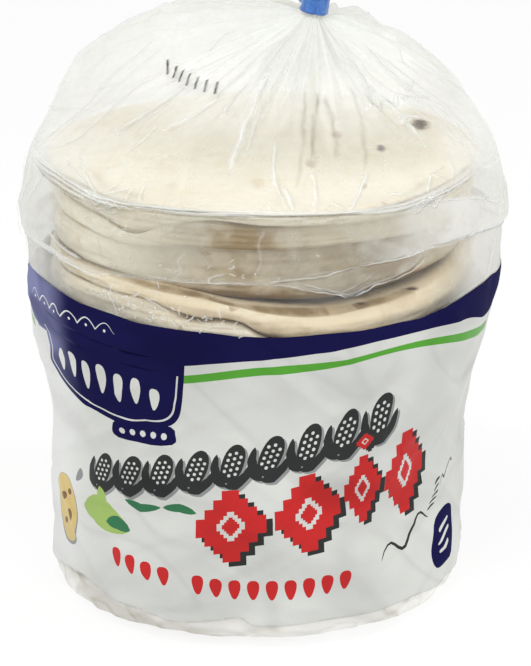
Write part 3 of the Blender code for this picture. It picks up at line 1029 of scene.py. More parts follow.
def wall_haze(angle, height, over):
    """How milky the standing film is. It is whiter on the loose sides and where it hangs doubled."""
    across = across_front(angle)
    side = ramp(0.76, 0.95, np.abs(np.cos(angle)))
    back = ramp(-0.1, 0.3, np.sin(angle))
    edge = np.interp(across, (42.0, 49.0, 62.0, 82.0, 106.0), (162.0, 160.0, 157.3, 152.0, 144.0))
    above = ramp(edge - 0.9, edge + 0.9, height) * ramp(40.0, 52.0, across)
    haze = (0.05 + 0.74 * side) * (1.0 - 0.45 * above) + 0.22 * back
    cloud = turn_noise(angle, height / 14.0, 24, 34)
    blotch = ramp(-0.1, 0.35, turn_noise(angle + 0.01 * height, height / 9.0, 33, 35) + 0.6 * cloud)
    slanted = ramp(0.1, 0.8, crest_noise(angle + 0.020 * height, height / 9.0, 52, 17))
    gap = np.exp(-(((across + 8.0) / 12.0) ** 2)) * ramp(159.0, 151.0, height)
    veil = ramp(-70.0, -44.0, across + 14.0 * cloud) * (1.0 - 0.92 * gap) * (1.0 - back)
    below = (1.0 - above) * ramp(38.0, 52.0, across)
    veil = veil * (0.22 + 0.34 * below + 0.24 * blotch + 0.10 * slanted + 0.08 * ramp(20.0, 40.0, across))
    slack = 0.42 * ramp(0.70, 0.88, np.cos(angle)) * ramp(146.0, 137.0, height) * ramp(0.4, -0.2, np.sin(angle))
    drape = 0.09 * np.exp(-(((across - 20.0) / 10.0) ** 2)) * ramp(125.5, 129.0, height) * (1.0 - over) * (1.0 - back)
    return haze + slack + drape + over * veil * (1.0 - 0.5 * above)


def roof_tone(angle, share):
    """Painted shade: soft greyish streaks where the gathered film lies in folds."""
    streak = ramp(0.0, 0.8, turn_noise(angle + 0.12 * share, share * 2.2, 58, 36))
    wide = ramp(-0.2, 0.7, turn_noise(angle - 0.1 * share, share * 1.6, 21, 37))
    front = 1.0 - 0.7 * ramp(0.55, 0.9, np.abs(np.cos(angle)))
    return ((0.26 * streak + 0.18 * wide) * ramp(0.08, 0.40, share) + 0.16 * ramp(0.45, 0.75, share)) * front


def wall_tone(angle, over):
    """Painted shade: how grey the doubled film in front is made beside the white film at the sides."""
    across = across_front(angle)
    front = ramp(-80.0, -46.0, across) * ramp(62.0, 20.0, across)
    return over * front * 0.9


class Crease:
    """A pinched line in the film along (angle in degrees, place) points. Its milk is the whiteness of doubled film
    together with a painted highlight on white creases, the darkness of painted shade on dark lines, and the ink's
    strength on stamped marks.
    """

    def __init__(self, points, width, height, milk, steady=False, plain=False):
        self.points, self.width, self.height, self.milk = points, width, height, milk
        self.steady, self.plain = steady, plain

    def shadow(self, shift, milk):
        """The painted shadow line beside it."""
        points = [(angle + shift[0], place + shift[1]) for angle, place in self.points]
        return Crease(points, self.width * 0.9, 0.2, milk, self.steady)


def roof_creases():
    """The creases that run from the rim towards the neck."""
    made = [
        Crease(((-166, 0.03), (-175, 0.16), (-184.5, 0.30), (-192.5, 0.57)), 1.3, 0.8, 0.95),
        Crease(((-163, 0.04), (-172, 0.18), (-181, 0.31), (-188, 0.56)), 0.6, 0.6, 0.6),
        Crease(((-160, 0.05), (-158, 0.12), (-162, 0.22), (-168, 0.36), (-176, 0.46)), 1.1, 0.7, 0.85),
        Crease(((-149, 0.23), (-150.5, 0.32), (-152, 0.50)), 1.7, 0.9, 0.95),
        Crease(((-146.5, 0.225), (-149, 0.225), (-151.5, 0.23)), 1.2, 0.5, 1.0),
        Crease(((-143, 0.25), (-146, 0.33), (-148, 0.44)), 0.6, 0.5, 0.55),
        Crease(((-135, 0.31), (-131, 0.40), (-126, 0.52)), 1.2, 0.8, 0.9),
        Crease(((-138, 0.16), (-137, 0.24), (-138, 0.32)), 0.5, 0.4, 0.4),
        Crease(((-103, 0.17), (-105.5, 0.32), (-108.5, 0.48), (-112, 0.68)), 1.6, 0.8, 0.95),
        Crease(((-101.5, 0.30), (-104, 0.44), (-106, 0.55)), 0.6, 0.4, 0.5),
        Crease(((-118, 0.42), (-120, 0.50), (-119, 0.60)), 1.4, 0.7, 0.55),
        Crease(((-84.5, 0.01), (-87.5, 0.09), (-90.5, 0.20), (-92, 0.34)), 0.9, 0.7, 0.8),
        Crease(((-83.5, 0.01), (-84.0, 0.06), (-87.0, 0.12)), 0.9, 0.6, 0.8),
        Crease(((-78, 0.0), (-77.5, 0.08), (-78.5, 0.18)), 0.7, 0.5, 0.75),
        Crease(((-69, 0.0), (-68, 0.03), (-65, 0.09), (-61.5, 0.17)), 0.8, 0.6, 0.8),
        Crease(((-70, 0.0), (-71.5, 0.03), (-74, 0.04)), 0.7, 0.5, 0.7),
        Crease(((-39, 0.23), (-38.5, 0.30), (-40, 0.42), (-44, 0.60)), 1.6, 0.9, 0.95),
        Crease(((-44, 0.36), (-40, 0.34), (-35, 0.35), (-31, 0.30)), 1.6, 0.6, 0.7),
        Crease(((-52, 0.46), (-47, 0.50), (-44, 0.60), (-46, 0.74)), 1.6, 0.8, 0.6),
        Crease(((-50, 0.50), (-46, 0.43), (-43, 0.49), (-38, 0.41), (-33, 0.47), (-27, 0.39)), 1.3, 0.6, 0.9),
        Crease(((-30, 0.44), (-22, 0.40), (-14, 0.42), (-8, 0.36)), 1.0, 0.6, 0.8),
        Crease(((-26, 0.50), (-16, 0.46), (-6, 0.47)), 0.9, 0.6, 0.6),
        Crease(((-21, 0.04), (-16, 0.15), (-10, 0.29), (-12, 0.46), (-8, 0.78)), 1.2, 0.8, 1.0),
        Crease(((-17, 0.05), (-11, 0.16), (-6, 0.31), (-8, 0.46), (-5, 0.70)), 0.7, 0.6, 0.65),
        Crease(((-24, 0.08), (-25, 0.18), (-20, 0.26)), 0.5, 0.4, 0.5),
    ]
    for points, width, milk in (
        (((-149, 0.085), (-141, 0.04), (-133.5, 0.0)), 0.8, 0.9),
        (((-133.5, 0.0), (-130, 0.028), (-126.5, 0.068)), 0.5, 0.9),
        (((-133, 0.004), (-131.5, 0.05), (-132, 0.10)), 0.4, 0.6),
        (((-127.5, 0.075), (-126.2, 0.04), (-126, 0.0)), 0.5, 0.9),
        (((-124.5, 0.095), (-124, 0.045), (-121.5, 0.004)), 0.7, 1.0),
        (((-152, 0.05), (-144, 0.03), (-137, 0.01)), 0.6, 0.7),
        (((-58, 0.055), (-52, 0.025), (-47.5, 0.0)), 0.6, 0.9),
        (((-47.5, 0.0), (-45.5, 0.035), (-43, 0.08)), 0.6, 1.0),
        (((-44, 0.085), (-41.5, 0.045), (-40, 0.0)), 0.5, 0.9),
        (((-39, 0.0), (-36, 0.04), (-35.5, 0.09)), 0.5, 0.8),
        (((-50, 0.10), (-45, 0.07), (-38, 0.075)), 0.4, 0.5),
    ):
        made.append(Crease(points, width, 0.6, milk))
    return made


def slack_creases():
    """Creases scattered over the slack back of the roof, and the soft white gathers near the neck."""
    made = []
    rng = np.random.default_rng(61)
    made += loose_creases(rng, 46, (0.4, 1.0), (0.2, 0.6))
    for k in range(16):
        angle = -168.0 + 156.0 * k / 15.0 + rng.normal(0.0, 3.0)
        start = rng.uniform(0.44, 0.60)
        points = [(angle + rng.normal(0.0, 0.8), start + 0.12 * t) for t in range(4)]
        made.append(Crease(points, rng.uniform(0.6, 1.3), 0.3, rng.uniform(0.10, 0.25)))
    return made


def loose_creases(rng, count, widths, milks):
    """Short creases scattered over the slack back and sides of the roof."""
    made = []
    for k in range(count):
        angle = rng.uniform(-28.0, 208.0)
        start = rng.uniform(0.04, 0.62)
        length = rng.uniform(0.08, 0.30)
        drift = rng.normal(0.0, 9.0)
        points = [(angle + drift * t + rng.normal(0.0, 1.2), start + length * t) for t in (0.0, 0.35, 0.7, 1.0)]
        made.append(Crease(points, rng.uniform(*widths), 0.5, rng.uniform(*milks)))
    return made


def date_marks():
    """A slanting row of short black bars, where such a bag has its stamped date."""
    made = []
    for k in range(7):
        along = k / 6.0
        foot = (-166.0 + 38.0 * along, 0.490 + 0.010 * along)
        head = (-176.0 + 42.0 * along, 0.528 + 0.030 * along)
        middle = tuple(0.5 * (a + b) for a, b in zip(foot, head))
        made.append(Crease((foot, middle, head), 0.9, 0.1, 1.0, True, True))
    return made


def smooth_roof(angle, share):
    """Points of an even patch just over the roof film, for the marks stamped there."""
    turns = np.radians(np.linspace(-16.0, 16.0, 9))
    point = np.mean([roof_film(angle + turn, share)[0] for turn in turns], axis=0)
    _, direction = roof_film(angle, share)
    return point + 2.0 * direction, direction


def roof_shadow_lines():
    """Painted shade along soft folds: three down the front and thin ones over the slack back, with painted shadows
    beside the roof creases and under the rim.
    """
    made = []
    for angle, start, end, bend in ((-83, 0.09, 0.60, 1.0), (-77, 0.20, 0.60, -2.0), (-71, 0.23, 0.58, 1.5)):
        points = tuple((angle + bend * sin(4.0 * t), start + (end - start) * t) for t in (0.0, 0.25, 0.5, 0.75, 1.0))
        made.append(Crease(points, 1.3, 0.3, 0.42))
    made.append(Crease(((-79.5, 0.20), (-78.0, 0.40), (-75.0, 0.60)), 0.9, 0.3, 0.30))
    made.append(Crease(((-62.5, 0.16), (-58.0, 0.36), (-53.0, 0.62)), 1.3, 0.3, 0.34))
    made.append(Crease(((-104.5, 0.30), (-108.0, 0.50), (-111.0, 0.68)), 0.7, 0.3, 0.34))
    made.append(Crease(((-42.0, 0.30), (-46.0, 0.44), (-50.0, 0.56)), 1.0, 0.3, 0.30))
    made.append(Crease(((-147.0, 0.24), (-149.5, 0.36), (-150.5, 0.48)), 0.6, 0.3, 0.36))
    made.append(Crease(((-133.0, 0.30), (-128.5, 0.41), (-123.5, 0.53)), 0.6, 0.3, 0.30))
    made += [crease.shadow((0.8, 0.0), 0.24) for crease in roof_creases()]
    made.append(Crease(((-140, 0.05), (-134, 0.045), (-127, 0.035), (-121, 0.02)), 2.6, 0.1, 0.34))
    made.append(Crease(((-53, 0.035), (-46, 0.045), (-38, 0.035)), 2.2, 0.1, 0.28))
    made += loose_creases(np.random.default_rng(71), 16, (0.8, 1.8), (0.05, 0.12))
    return made


def edge_creases():
    """The folds along the lower edge of the hanging film and over the lens where it lies double."""
    return [
        Crease(((-152, 143), (-147, 140), (-142, 138.5), (-137, 137.8)), 0.8, 0.5, 0.8, True),
        Crease(((-150, 138), (-144, 134.8), (-138, 134.0), (-131, 133.0)), 0.7, 0.5, 0.75, True),
        Crease(((-90, 135.8), (-86.9, 137.8), (-81, 138.2), (-76, 138.4), (-71.5, 139.7), (-67, 140.8)), 0.32, 0.3, 0.95),
        Crease(((-67, 140.8), (-61, 141.3), (-56.5, 141.6), (-52, 142.4), (-48.8, 143.1)), 0.32, 0.3, 0.95),
        Crease(((-48.8, 143.1), (-44, 142.7), (-35, 141.6), (-27, 140.6)), 0.30, 0.3, 0.5),
        Crease(((-89.5, 136.0), (-85.7, 136.4), (-82.5, 135.1), (-79, 133.7), (-73.7, 132), (-69, 129.9)), 0.34, 0.3, 0.9),
        Crease(((-69, 129.9), (-62.4, 132.9), (-56.7, 134.6), (-51.2, 137.4), (-48.8, 142.4)), 0.34, 0.3, 0.95),
        Crease(((-84, 137.6), (-79, 135.4), (-73, 133.2), (-69, 130.6)), 0.22, 0.3, 0.6),
        Crease(((-118, 137.0), (-108, 136.0), (-98, 136.6), (-90, 136.2)), 0.30, 0.3, 0.6),
        Crease(((-99, 140), (-104, 137.5), (-102, 136)), 0.5, 0.4, 0.6),
        Crease(((-72, 131.5), (-67, 134.5), (-63, 138)), 0.25, 0.3, 0.45),
        Crease(((-27.2, 147.5), (-27.6, 149.5), (-27.2, 151.8)), 0.4, 0.3, 0.8),
        Crease(((-52.6, 159.6), (-42.8, 157.0), (-27.2, 151.8), (-12, 145.2)), 0.4, 0.3, 0.55),
    ]


def scratches():
    """Fine sharp creases scattered where the film is crumpled: over the ledge, and over the gap beside it."""
    made = []
    rng = np.random.default_rng(64)
    places = ((-124.0, 125.5, 34, 8.0), (-112.0, 121.5, 22, 6.0), (-102.0, 120.5, 18, 4.0), (-98.0, 141.0, 16, 12.0))
    for middle, low, count, spread in places:
        for _ in range(count):
            angle, height = middle + rng.normal(0.0, spread), low + rng.normal(0.0, 2.6)
            drift, tall = rng.normal(0.0, 1.2), rng.uniform(0.5, 1.7)
            bow = rng.normal(0.0, 0.7)
            points = [(angle + drift * t + bow * t * (1.0 - t) * 4.0, height - tall * (t - 0.5)) for t in (0.0, 0.3, 0.7, 1.0)]
            made.append(Crease(points, rng.uniform(0.18, 0.42), 0.3, rng.uniform(0.5, 0.9), True))
    for start, end in (
        ((-131.5, 129.0), (-127.4, 119.9)),
        ((-128.5, 132.0), (-129.6, 126.5)),
        ((-120.7, 128.0), (-112.8, 123.2)),
        ((-117.0, 135.5), (-116.0, 131.8)),
        ((-106.5, 123.8), (-111.0, 120.2)),
        ((-101.6, 128.0), (-100.4, 122.4)),
    ):
        middle = (0.5 * (start[0] + end[0]) + rng.normal(0.0, 0.5), 0.5 * (start[1] + end[1]) + rng.normal(0.0, 0.5))
        made.append(Crease((start, middle, end), 0.30, 0.3, 0.85, True))
    return made


def wall_creases():
    """All the creases over the stack's side, with loose ones over its back."""
    made = edge_creases() + scratches()
    made.append(Crease(((-92, 138.5), (-90.5, 144), (-91.5, 150), (-89.5, 156)), 0.6, 0.4, 0.30))
    made.append(Crease(((-112, 136.5), (-109, 139.5), (-111, 143), (-107, 148)), 0.4, 0.3, 0.35))
    rng = np.random.default_rng(62)
    for k in range(46):
        angle = rng.uniform(-22.0, 202.0)
        height = rng.uniform(124.0, 156.0)
        lean = rng.normal(0.0, 5.0)
        tall = rng.uniform(4.0, 14.0)
        points = [(angle + lean * t, height + tall * (t - 0.5) + rng.normal(0.0, 0.5)) for t in (0.0, 0.3, 0.7, 1.0)]
        points = [(a, min(max(h, 122.0), 158.5)) for a, h in points]
        made.append(Crease(points, rng.uniform(0.3, 0.8), 0.4, rng.uniform(0.25, 0.55)))
    return made


def rim_creases():
    """The pinched edge of the top, doubled at its left corner and crumpled beside both corners."""
    edge = [(angle, 161.0) for angle in (-163, -148, -140, -133, -125, -116, -104)]
    made = [Crease(edge, 0.50, 0.8, 1.0, True)]
    edge_right = [(-112, 160.1), (-102, 160.3), (-92, 160.7)] + [(angle, 161.0) for angle in (-81, -66, -55, -42.5, -27.5)]
    made.append(Crease(edge_right, 0.40, 0.8, 0.95, True))
    made.append(Crease([(angle + 1.0, 159.6 - 0.5 * (angle < -150)) for angle, _ in edge[:5]], 0.7, 0.8, 1.0, True))
    made.append(Crease(((-164, 160.5), (-156, 158.2), (-145, 157.6), (-136, 158.4)), 0.5, 0.6, 0.8, True))
    made.append(Crease(((-124, 160.2), (-112, 160.0), (-100, 159.9), (-88, 159.8)), 0.4, 0.5, 0.8, True))
    made.append(Crease(((-70, 160.8), (-58, 159.7), (-50, 159.7), (-41, 159.7), (-29, 160.0)), 0.7, 0.8, 1.0, True))
    made.append(Crease(((-55, 158.5), (-48, 158.7), (-40, 158.5), (-34, 159.2)), 0.45, 0.5, 0.85, True))
    made.append(Crease(((-27.5, 160.8), (-22, 158.4), (-14, 157.6), (-6, 156.8)), 0.6, 0.4, 0.45))
    made.append(Crease(((-163, 161.0), (-166, 158.0), (-166.5, 153.0), (-169, 147.0)), 0.7, 0.4, 0.45))
    return made + rim_crumple()


def rim_crumple():
    """Sharp zigzag folds under the two corners of the top's edge."""
    made = []
    rng = np.random.default_rng(63)
    for start, end, rows in ((-138.0, -121.0, 3), (-54.0, -37.0, 3)):
        for row in range(rows):
            points = []
            angle = start + rng.uniform(0.0, 2.5)
            while angle < end - 2.0 * row:
                swing = 1.2 * (-1.0) ** len(points)
                points.append((angle, 159.9 - 1.4 * row + swing + rng.normal(0.0, 0.35)))
                angle += rng.uniform(1.4, 3.0)
            made.append(Crease(points, rng.uniform(0.24, 0.36), 0.6, 1.0 - 0.2 * row, True))
    return made


def wall_shadow_lines():
    """Painted shadows under the pinched rim and beside the creases, and painted shade along a few folds in the hanging
    film.
    """
    made = [
        Crease(((-160, 157.6), (-150, 157.4), (-141, 156.6), (-132, 157.2), (-121, 158.8)), 1.2, 0.2, 0.55),
        Crease(((-124, 159.0), (-100, 159.0), (-80, 158.8), (-58, 158.6)), 0.9, 0.2, 0.30),
        Crease(((-52, 158.6), (-46, 158.4), (-40, 158.8), (-35, 159.4)), 0.8, 0.2, 0.60),
        Crease(((-93, 132), (-86, 137), (-77, 138), (-70, 140.2), (-60, 141.2)), 0.8, 0.2, 0.35),
        Crease(((-110, 137), (-98, 134.6), (-90, 136.0), (-82, 133.4), (-70, 130.2)), 0.7, 0.2, 0.35),
        Crease(((-150, 142.0), (-144, 138.6), (-138, 137.0)), 0.7, 0.2, 0.30),
    ]
    made += [crease.shadow((0.0, -1.0), 0.62) for crease in rim_creases()[:6]]
    made += [crease.shadow((0.5, -0.4), 0.50) for crease in rim_crumple()]
    made += [crease.shadow((0.6, -0.5), 0.40) for crease in edge_creases()]
    made += [crease.shadow((0.4, -0.2), 0.34) for crease in scratches()[::2]]
    rng = np.random.default_rng(72)
    for k in range(40):
        angle = rng.uniform(-180.0, 180.0)
        height = rng.uniform(136.0, 156.0)
        lean = rng.normal(0.0, 6.0)
        tall = rng.uniform(4.0, 12.0)
        points = [(angle + lean * t, height + tall * (t - 0.5)) for t in (0.0, 0.5, 1.0)]
        points = [(a, min(max(h, 124.0), 158.5)) for a, h in points]
        made.append(Crease(points, rng.uniform(0.4, 1.2), 0.2, rng.uniform(0.10, 0.26)))
    return made


def crease_rows(crease, surface):
    """A narrow tented strip along a crease: rows of points and their milk values, which are doubled film with painted
    highlight on white creases and painted shade on dark lines.
    """
    places = np.array(crease.points, dtype=float)
    steps = np.concatenate(([0.0], np.cumsum(np.hypot(*np.diff(places, axis=0).T * ((1.3,), (1.0,))))))
    flat = np.radians(places[:, 0]), places[:, 1]
    if places[:, 1].max() < 2.0:
        steps = np.concatenate(([0.0], np.cumsum(np.hypot(*np.diff(places, axis=0).T * ((0.8,), (80.0,))))))
    count = max(int(steps[-1] / 1.1), 6)
    at = np.linspace(0.0, steps[-1], count)
    angle = np.interp(at, steps, flat[0])
    place = np.interp(at, steps, flat[1])
    smooth = np.array((0.25, 0.5, 0.25))
    for _ in range(1 if crease.steady else 3):
        angle[1:-1] = np.convolve(angle, smooth, "valid")
        place[1:-1] = np.convolve(place, smooth, "valid")
    middle, normal = surface(angle, place)
    tangent = np.gradient(middle, axis=0)
    sideways = np.cross(tangent, normal)
    sideways /= np.linalg.norm(sideways, axis=-1, keepdims=True)
    share = at / steps[-1]
    taper = np.clip(share / 0.12, 0.0, 1.0) * np.clip((1.0 - share) / 0.12, 0.0, 1.0)
    length = at + 7.3 * crease.points[0][0]
    uneven = 1.0 + 0.30 * np.sin(0.62 * length) * np.sin(0.27 * length + 2.0)
    broken = 0.72 + 0.28 * np.sin(0.43 * length + 1.0) * np.sin(0.19 * length + 0.4)
    wander = 0.22 * crease.width * np.sin(0.50 * length) + 0.12 * np.sin(1.3 * length)
    if crease.steady:
        uneven, broken, wander = 1.0 + 0.3 * (uneven - 1.0), 1.0 + 0.0 * at, 0.25 * wander
    if crease.plain:
        uneven, taper, wander = 1.0, np.ones(count), 0.0 * at
    half = crease.width * (0.35 + 0.65 * taper) * uneven
    middle = middle + sideways * wander[:, None]
    rows, milk = [], []
    for reach, lift, white in ((-1, 0.0, 0.0), (-0.5, 0.55, 0.55), (0, 1.0, 1.0), (0.3, 0.7, 0.6), (1, 0.0, 0.0)):
        out = 0.12 + crease.height * lift * taper * 0.6
        rows.append(middle + sideways * (half * reach)[:, None] + normal * out[:, None])
        milk.append(white * crease.milk * taper * broken)
    return np.stack(rows), np.stack(milk)


def make_creases(name, look, groups):
    """All the pinched creases as one piece."""
    bm = bmesh.new()
    for surface, creases in groups:
        for crease in creases:
            points, milk = crease_rows(crease, surface)
            strip = grid_mesh(name, points, closed=False, milk=milk)
            bm.from_mesh(strip)
            bpy.data.meshes.remove(strip)
    mesh = bpy.data.meshes.new(name)
    bm.to_mesh(mesh)
    bm.free()
    return new_object(name, mesh, [look])


def roof_rows():
    """Shares of the way from the rim to the neck."""
    return np.concatenate((np.linspace(0.0, 0.06, 8), np.linspace(0.07, 1.0, 88)))


def flap_crumple(angle, height, share):
    """Small creases of the hanging film. They are deep beside the two corners of the top's edge."""
    slanted = crest_noise(angle + 0.020 * height, height / 9.0, 52, 17)
    crossing = crest_noise(angle - 0.028 * height, height / 7.0, 64, 18)
    fine = turn_noise(angle, height / 3.0, 150, 19)
    degrees_round = (np.degrees(angle) + 180.0) % 360.0 - 180.0
    left = np.exp(-(((degrees_round + 131.0) / 7.0) ** 2))
    right = np.exp(-(((degrees_round + 45.0) / 8.0) ** 2))
    near_rim = ramp(0.55, 0.95, share)
    pleats = crest_noise(angle + 0.01 * height, height / 20.0, 74, 20) * (left + right) * near_rim
    loose = 0.5 + 0.5 * ramp(-0.2, 0.6, turn_noise(angle, height / 12.0, 14, 26))
    return (0.34 * slanted + 0.24 * crossing + 0.07 * fine) * loose * np.sin(pi * share) ** 0.5 + 0.45 * pleats


def clear_film_points():
    """Rows of points, their milkiness and their painted shade, from below the navy band's edge to the neck."""
    angle = np.linspace(0.0, tau, FILM_COLUMNS, endpoint=False)
    across = across_front(angle)
    edge = band_top(across) - 1.2
    low = lip_low(across)
    high = low + lip_overlap(across)
    front = ramp(0.30, -0.35, np.sin(angle)) * (1.0 - ramp(0.80, 0.93, np.cos(angle)))
    doubled = 0.30 - 0.24 * ramp(26.0, 44.0, across)
    rows, milk, tone = [], [], []

    def wall(height, out):
        relief = np.maximum(wall_relief(angle, height), -0.7)
        radius = wall_radius(angle, height) + relief + out
        return points_at(angle, radius, lifted(angle, height), stack_lean(height))

    for t in np.linspace(0.0, 1.0, 14):
        height = edge + (high - edge) * t
        rows.append(wall(height, 0.12 + 0.25 * t if t > 0.0 else -0.8))
        milk.append(wall_haze(angle, height, 0.0))
        tone.append(0.0 * angle)
    for t in np.linspace(0.12, 1.0, 8):
        height = high + (low - high) * t
        rows.append(wall(height, 0.5 + 0.7 * np.sqrt(t)))
        milk.append(wall_haze(angle, height, doubled))
        tone.append(wall_tone(angle, 1.0))
    for t in np.linspace(0.03, 1.0, 26):
        height = low + (RIM_HEIGHT - 0.6 - low) * t
        belly = 1.1 * np.sin(pi * t) * (0.6 + 0.8 * turn_noise(angle, t * 2.0, 9, 14))
        rows.append(wall(height, LIP_DEPTH * ramp(-0.05, 0.12, t) + belly + flap_crumple(angle, height, t)))
        milk.append(wall_haze(angle, height, doubled + (1.0 - doubled) * ramp(high - 0.5, high + 0.4, height)))
        tone.append(wall_tone(angle, ramp(1.0, 0.9, t)))
    rim = roof_rim(angle)
    outward = points_at(angle, 1.0, 0.0)
    pinch = (0.5 + 0.5 * np.abs(turn_noise(angle, 0.5, 40, 16))) * front
    for out, up in ((1.0, -0.3), (0.1, 0.35)):
        rows.append(rim + outward * (pinch * out)[:, None] + np.array((0.0, 0.0, up)))
        milk.append(roof_haze(angle, 0.0 * angle) + 0.2 * front)
    turned_in = len(rows)
    grid_angle, grid_share = np.meshgrid(angle, roof_rows()[1:])
    roof, _ = roof_film(grid_angle, grid_share)
    rows += list(roof)
    milk += list(roof_haze(grid_angle, grid_share))
    tone += [0.0 * angle] * 2 + list(roof_tone(grid_angle, grid_share))
    for along in np.linspace(1.5, NECK_LENGTH + 1.0, 5):
        pleat = 1.0 + 0.14 * zigzag(17.0 * angle)
        rows.append(neck_point(angle, along, (NECK_RADIUS - 0.35) * pleat))
        milk.append(0.85 + 0.0 * angle)
    tone += [0.0 * angle] * (len(rows) - len(tone))
    points = soften_rim(np.stack(rows), turned_in, 1.0 - front)
    return points, np.clip(np.stack(milk), 0.0, 1.0), np.stack(tone)


def soften_rim(points, rim_row, amount):
    """Rounds the turn from wall to roof where nothing pinches it."""
    reach = 16
    rows = np.arange(len(points))
    near = np.clip(1.0 - np.abs(rows - rim_row + 2) / reach, 0.0, 1.0)
    weight = (near[:, None] * amount[None, :])[1:-1, :, None] * 0.5
    for _ in range(160):
        middle = 0.5 * (points[:-2] + points[2:])
        points[1:-1] += (middle - points[1:-1]) * weight
    return points


def make_clear_film(look):
    points, milk, tone = clear_film_points()
    return new_object("clear_film", grid_mesh("clear_film", points, milk=milk, tone=tone), [look])


def make_tail(look):
    """The gathered film above the tape, open and pleated."""
    columns, rows = 420, 40
    angle, share = np.meshgrid(np.linspace(0.0, tau, columns, endpoint=False), np.linspace(0.0, 1.0, rows))
    spread = share**1.4
    pleat = 1.0 + 0.30 * spread * zigzag(7.0 * angle + 0.9) + 0.16 * spread * zigzag(19.0 * angle + 3.0 * share)
    fine = 0.06 * spread * zigzag(29.0 * angle + 2.0 * turn_noise(angle, 2.0 * share, 9, 45))
    radius = (NECK_RADIUS - 0.4 + (TAIL_RADIUS - NECK_RADIUS) * spread) * (pleat + fine)
    uneven = 1.0 + 0.16 * spread * np.sin(3.0 * angle + 0.7) + 0.05 * spread * folds(angle)
    points = neck_point(angle, NECK_LENGTH - 1.5 + (TAIL_LENGTH + 1.5) * share * uneven, radius)
    milk = 0.85 - 0.25 * spread
    return new_object("tail_film", grid_mesh("tail_film", points, milk=milk), [look])


# ---------------------------------------------------------------- the tortillas


def rim_line(points):
    """A height or radius that changes round the stack, from (degrees, mm) points."""

    def line(angle):
        return curve_through(points, (np.degrees(angle) + 180.0) % 360.0 - 180.0, 360.0)

    return line


def level(value):
    return lambda angle: value + 0.0 * angle


def add_roll(bm, low, high, radius, centre, segments, seed, grooves=0.45, inner_high=None, relief=0.35,
             open_low=level(1.0), open_high=level(1.0), crust=0.35, painted_shade=level(0.0), ridge=level(0.0), front_shade=level(0.0)):
    """A few tortillas that stick together, with one soft rim and faint grooves between them.

    The openings say how far the rim rounds off towards the rolls below and above it, the ridge how far
    its upper edge curls up, and front_shade how much painted shade darkens it under that ridge. The shade
    values are toasted patches and painted shade: in the seams, grooves, underside and the hollow behind
    the ridge, and over the whole roll by the line given for it.
    """
    angle = np.linspace(0.0, tau, segments, endpoint=False)
    bottom, top, outer = low(angle), high(angle), radius(angle)
    outer = outer + 0.8 * turn_noise(angle, 0.5, 11, seed) + 0.4 * turn_noise(angle, 0.5, 37, seed + 1)
    middle, half = 0.5 * (bottom + top), 0.5 * (top - bottom)
    depth = np.minimum(1.15 * half + 0.8, 6.5)
    openings = np.clip(open_low(angle), 0.06, 1.0), np.clip(open_high(angle), 0.06, 1.0)
    flat_top = float(top.mean()) if inner_high is None else inner_high
    rows, shades = [], []
    for share in (0.30, 0.62, 0.86):
        rows.append(points_at(angle, (outer - depth * openings[0]) * share, bottom + 0.3 * (1.0 - share), *centre))
        # Painted shade on the underside.
        shades.append(1.0 + 0.0 * angle)
    steps = 22 if segments > 100 else 8
    for k in range(steps + 1):
        turn = -pi / 2.0 + pi * k / steps
        bulge = np.abs(np.cos(turn)) ** 0.75
        side = openings[0] if turn < 0.0 else openings[1]
        level_here = middle + half * np.sign(sin(turn)) * abs(sin(turn)) ** 0.9
        layer = level_here / 2.1
        patchy = 0.35 + 0.65 * ramp(-0.3, 0.5, turn_noise(angle, layer * 0.9, 14, seed + 2))
        groove = np.exp(-(((layer % 1.0) - 0.5) / 0.15) ** 2) * patchy * bulge * grooves
        rough = 0.40 * turn_noise(angle, level_here * 0.6, 52, seed + 3)
        rough = rough + 0.60 * turn_noise(angle, level_here * 0.2, 19, seed + 4)
        rough = rough + 0.16 * turn_noise(angle, level_here * 1.3, 120, seed + 6)
        out = outer - depth * side * (1.0 - bulge) - groove + rough * bulge
        away = sin(turn) - RIDGE_PLACE(angle) - 0.12 * turn_noise(angle, 0.5, 27, seed + 9)
        curl = ridge(angle) * np.exp(-((away / 0.16) ** 2))
        # Painted shade in the hollow behind the ridge and under it.
        hollow_shade = 0.46 * ridge(angle) * ramp(0.08, 0.32, away) + front_shade(angle) * ramp(-0.12, -0.80, away)
        level_here, out = level_here + 1.3 * curl, out + 0.3 * curl
        rows.append(points_at(angle, out, level_here, *centre))
        # Painted shade in the seams and grooves and over the whole roll, with toasted patches.
        seam_shade = ramp(-0.45, -1.0, sin(turn)) + 0.7 * ramp(0.6, 1.0, sin(turn)) * (half < 5.0)
        toasted = crust * ramp(0.1, 0.9, turn_noise(angle, level_here * 0.25, 21, seed + 7)) * bulge
        shade = 1.25 * seam_shade * (0.5 + 0.5 * patchy) * (0.25 + 0.75 * side) + 1.2 * groove + toasted + painted_shade(angle) + hollow_shade
        shades.append(np.clip(shade, 0.0, 1.6))
    for share in (0.97, 0.93, 0.88, 0.82, 0.74, 0.64, 0.5, 0.3, 0.1):
        blend = ramp(0.55, 1.0, share)
        wave = relief * turn_noise(angle, share * 4.0, 15, seed + 5) * min(1.0, 3.0 * share)
        level_here = flat_top + (top - flat_top) * blend + wave * (1.0 - ramp(0.9, 1.0, share) * 0.6)
        rows.append(points_at(angle, (outer - depth * openings[1]) * share, level_here, *centre))
        # Painted shade inwards from the rim and in the hollow behind the ridge.
        hollow_shade = ridge(angle) * (0.40 + 0.45 * ramp(0.98, 0.86, share))
        shades.append(0.35 * ramp(0.97, 0.84, share) + 0.1 * turn_noise(angle, share * 6.0, 20, seed + 8) + hollow_shade)
    add_rings(bm, rows, shades)


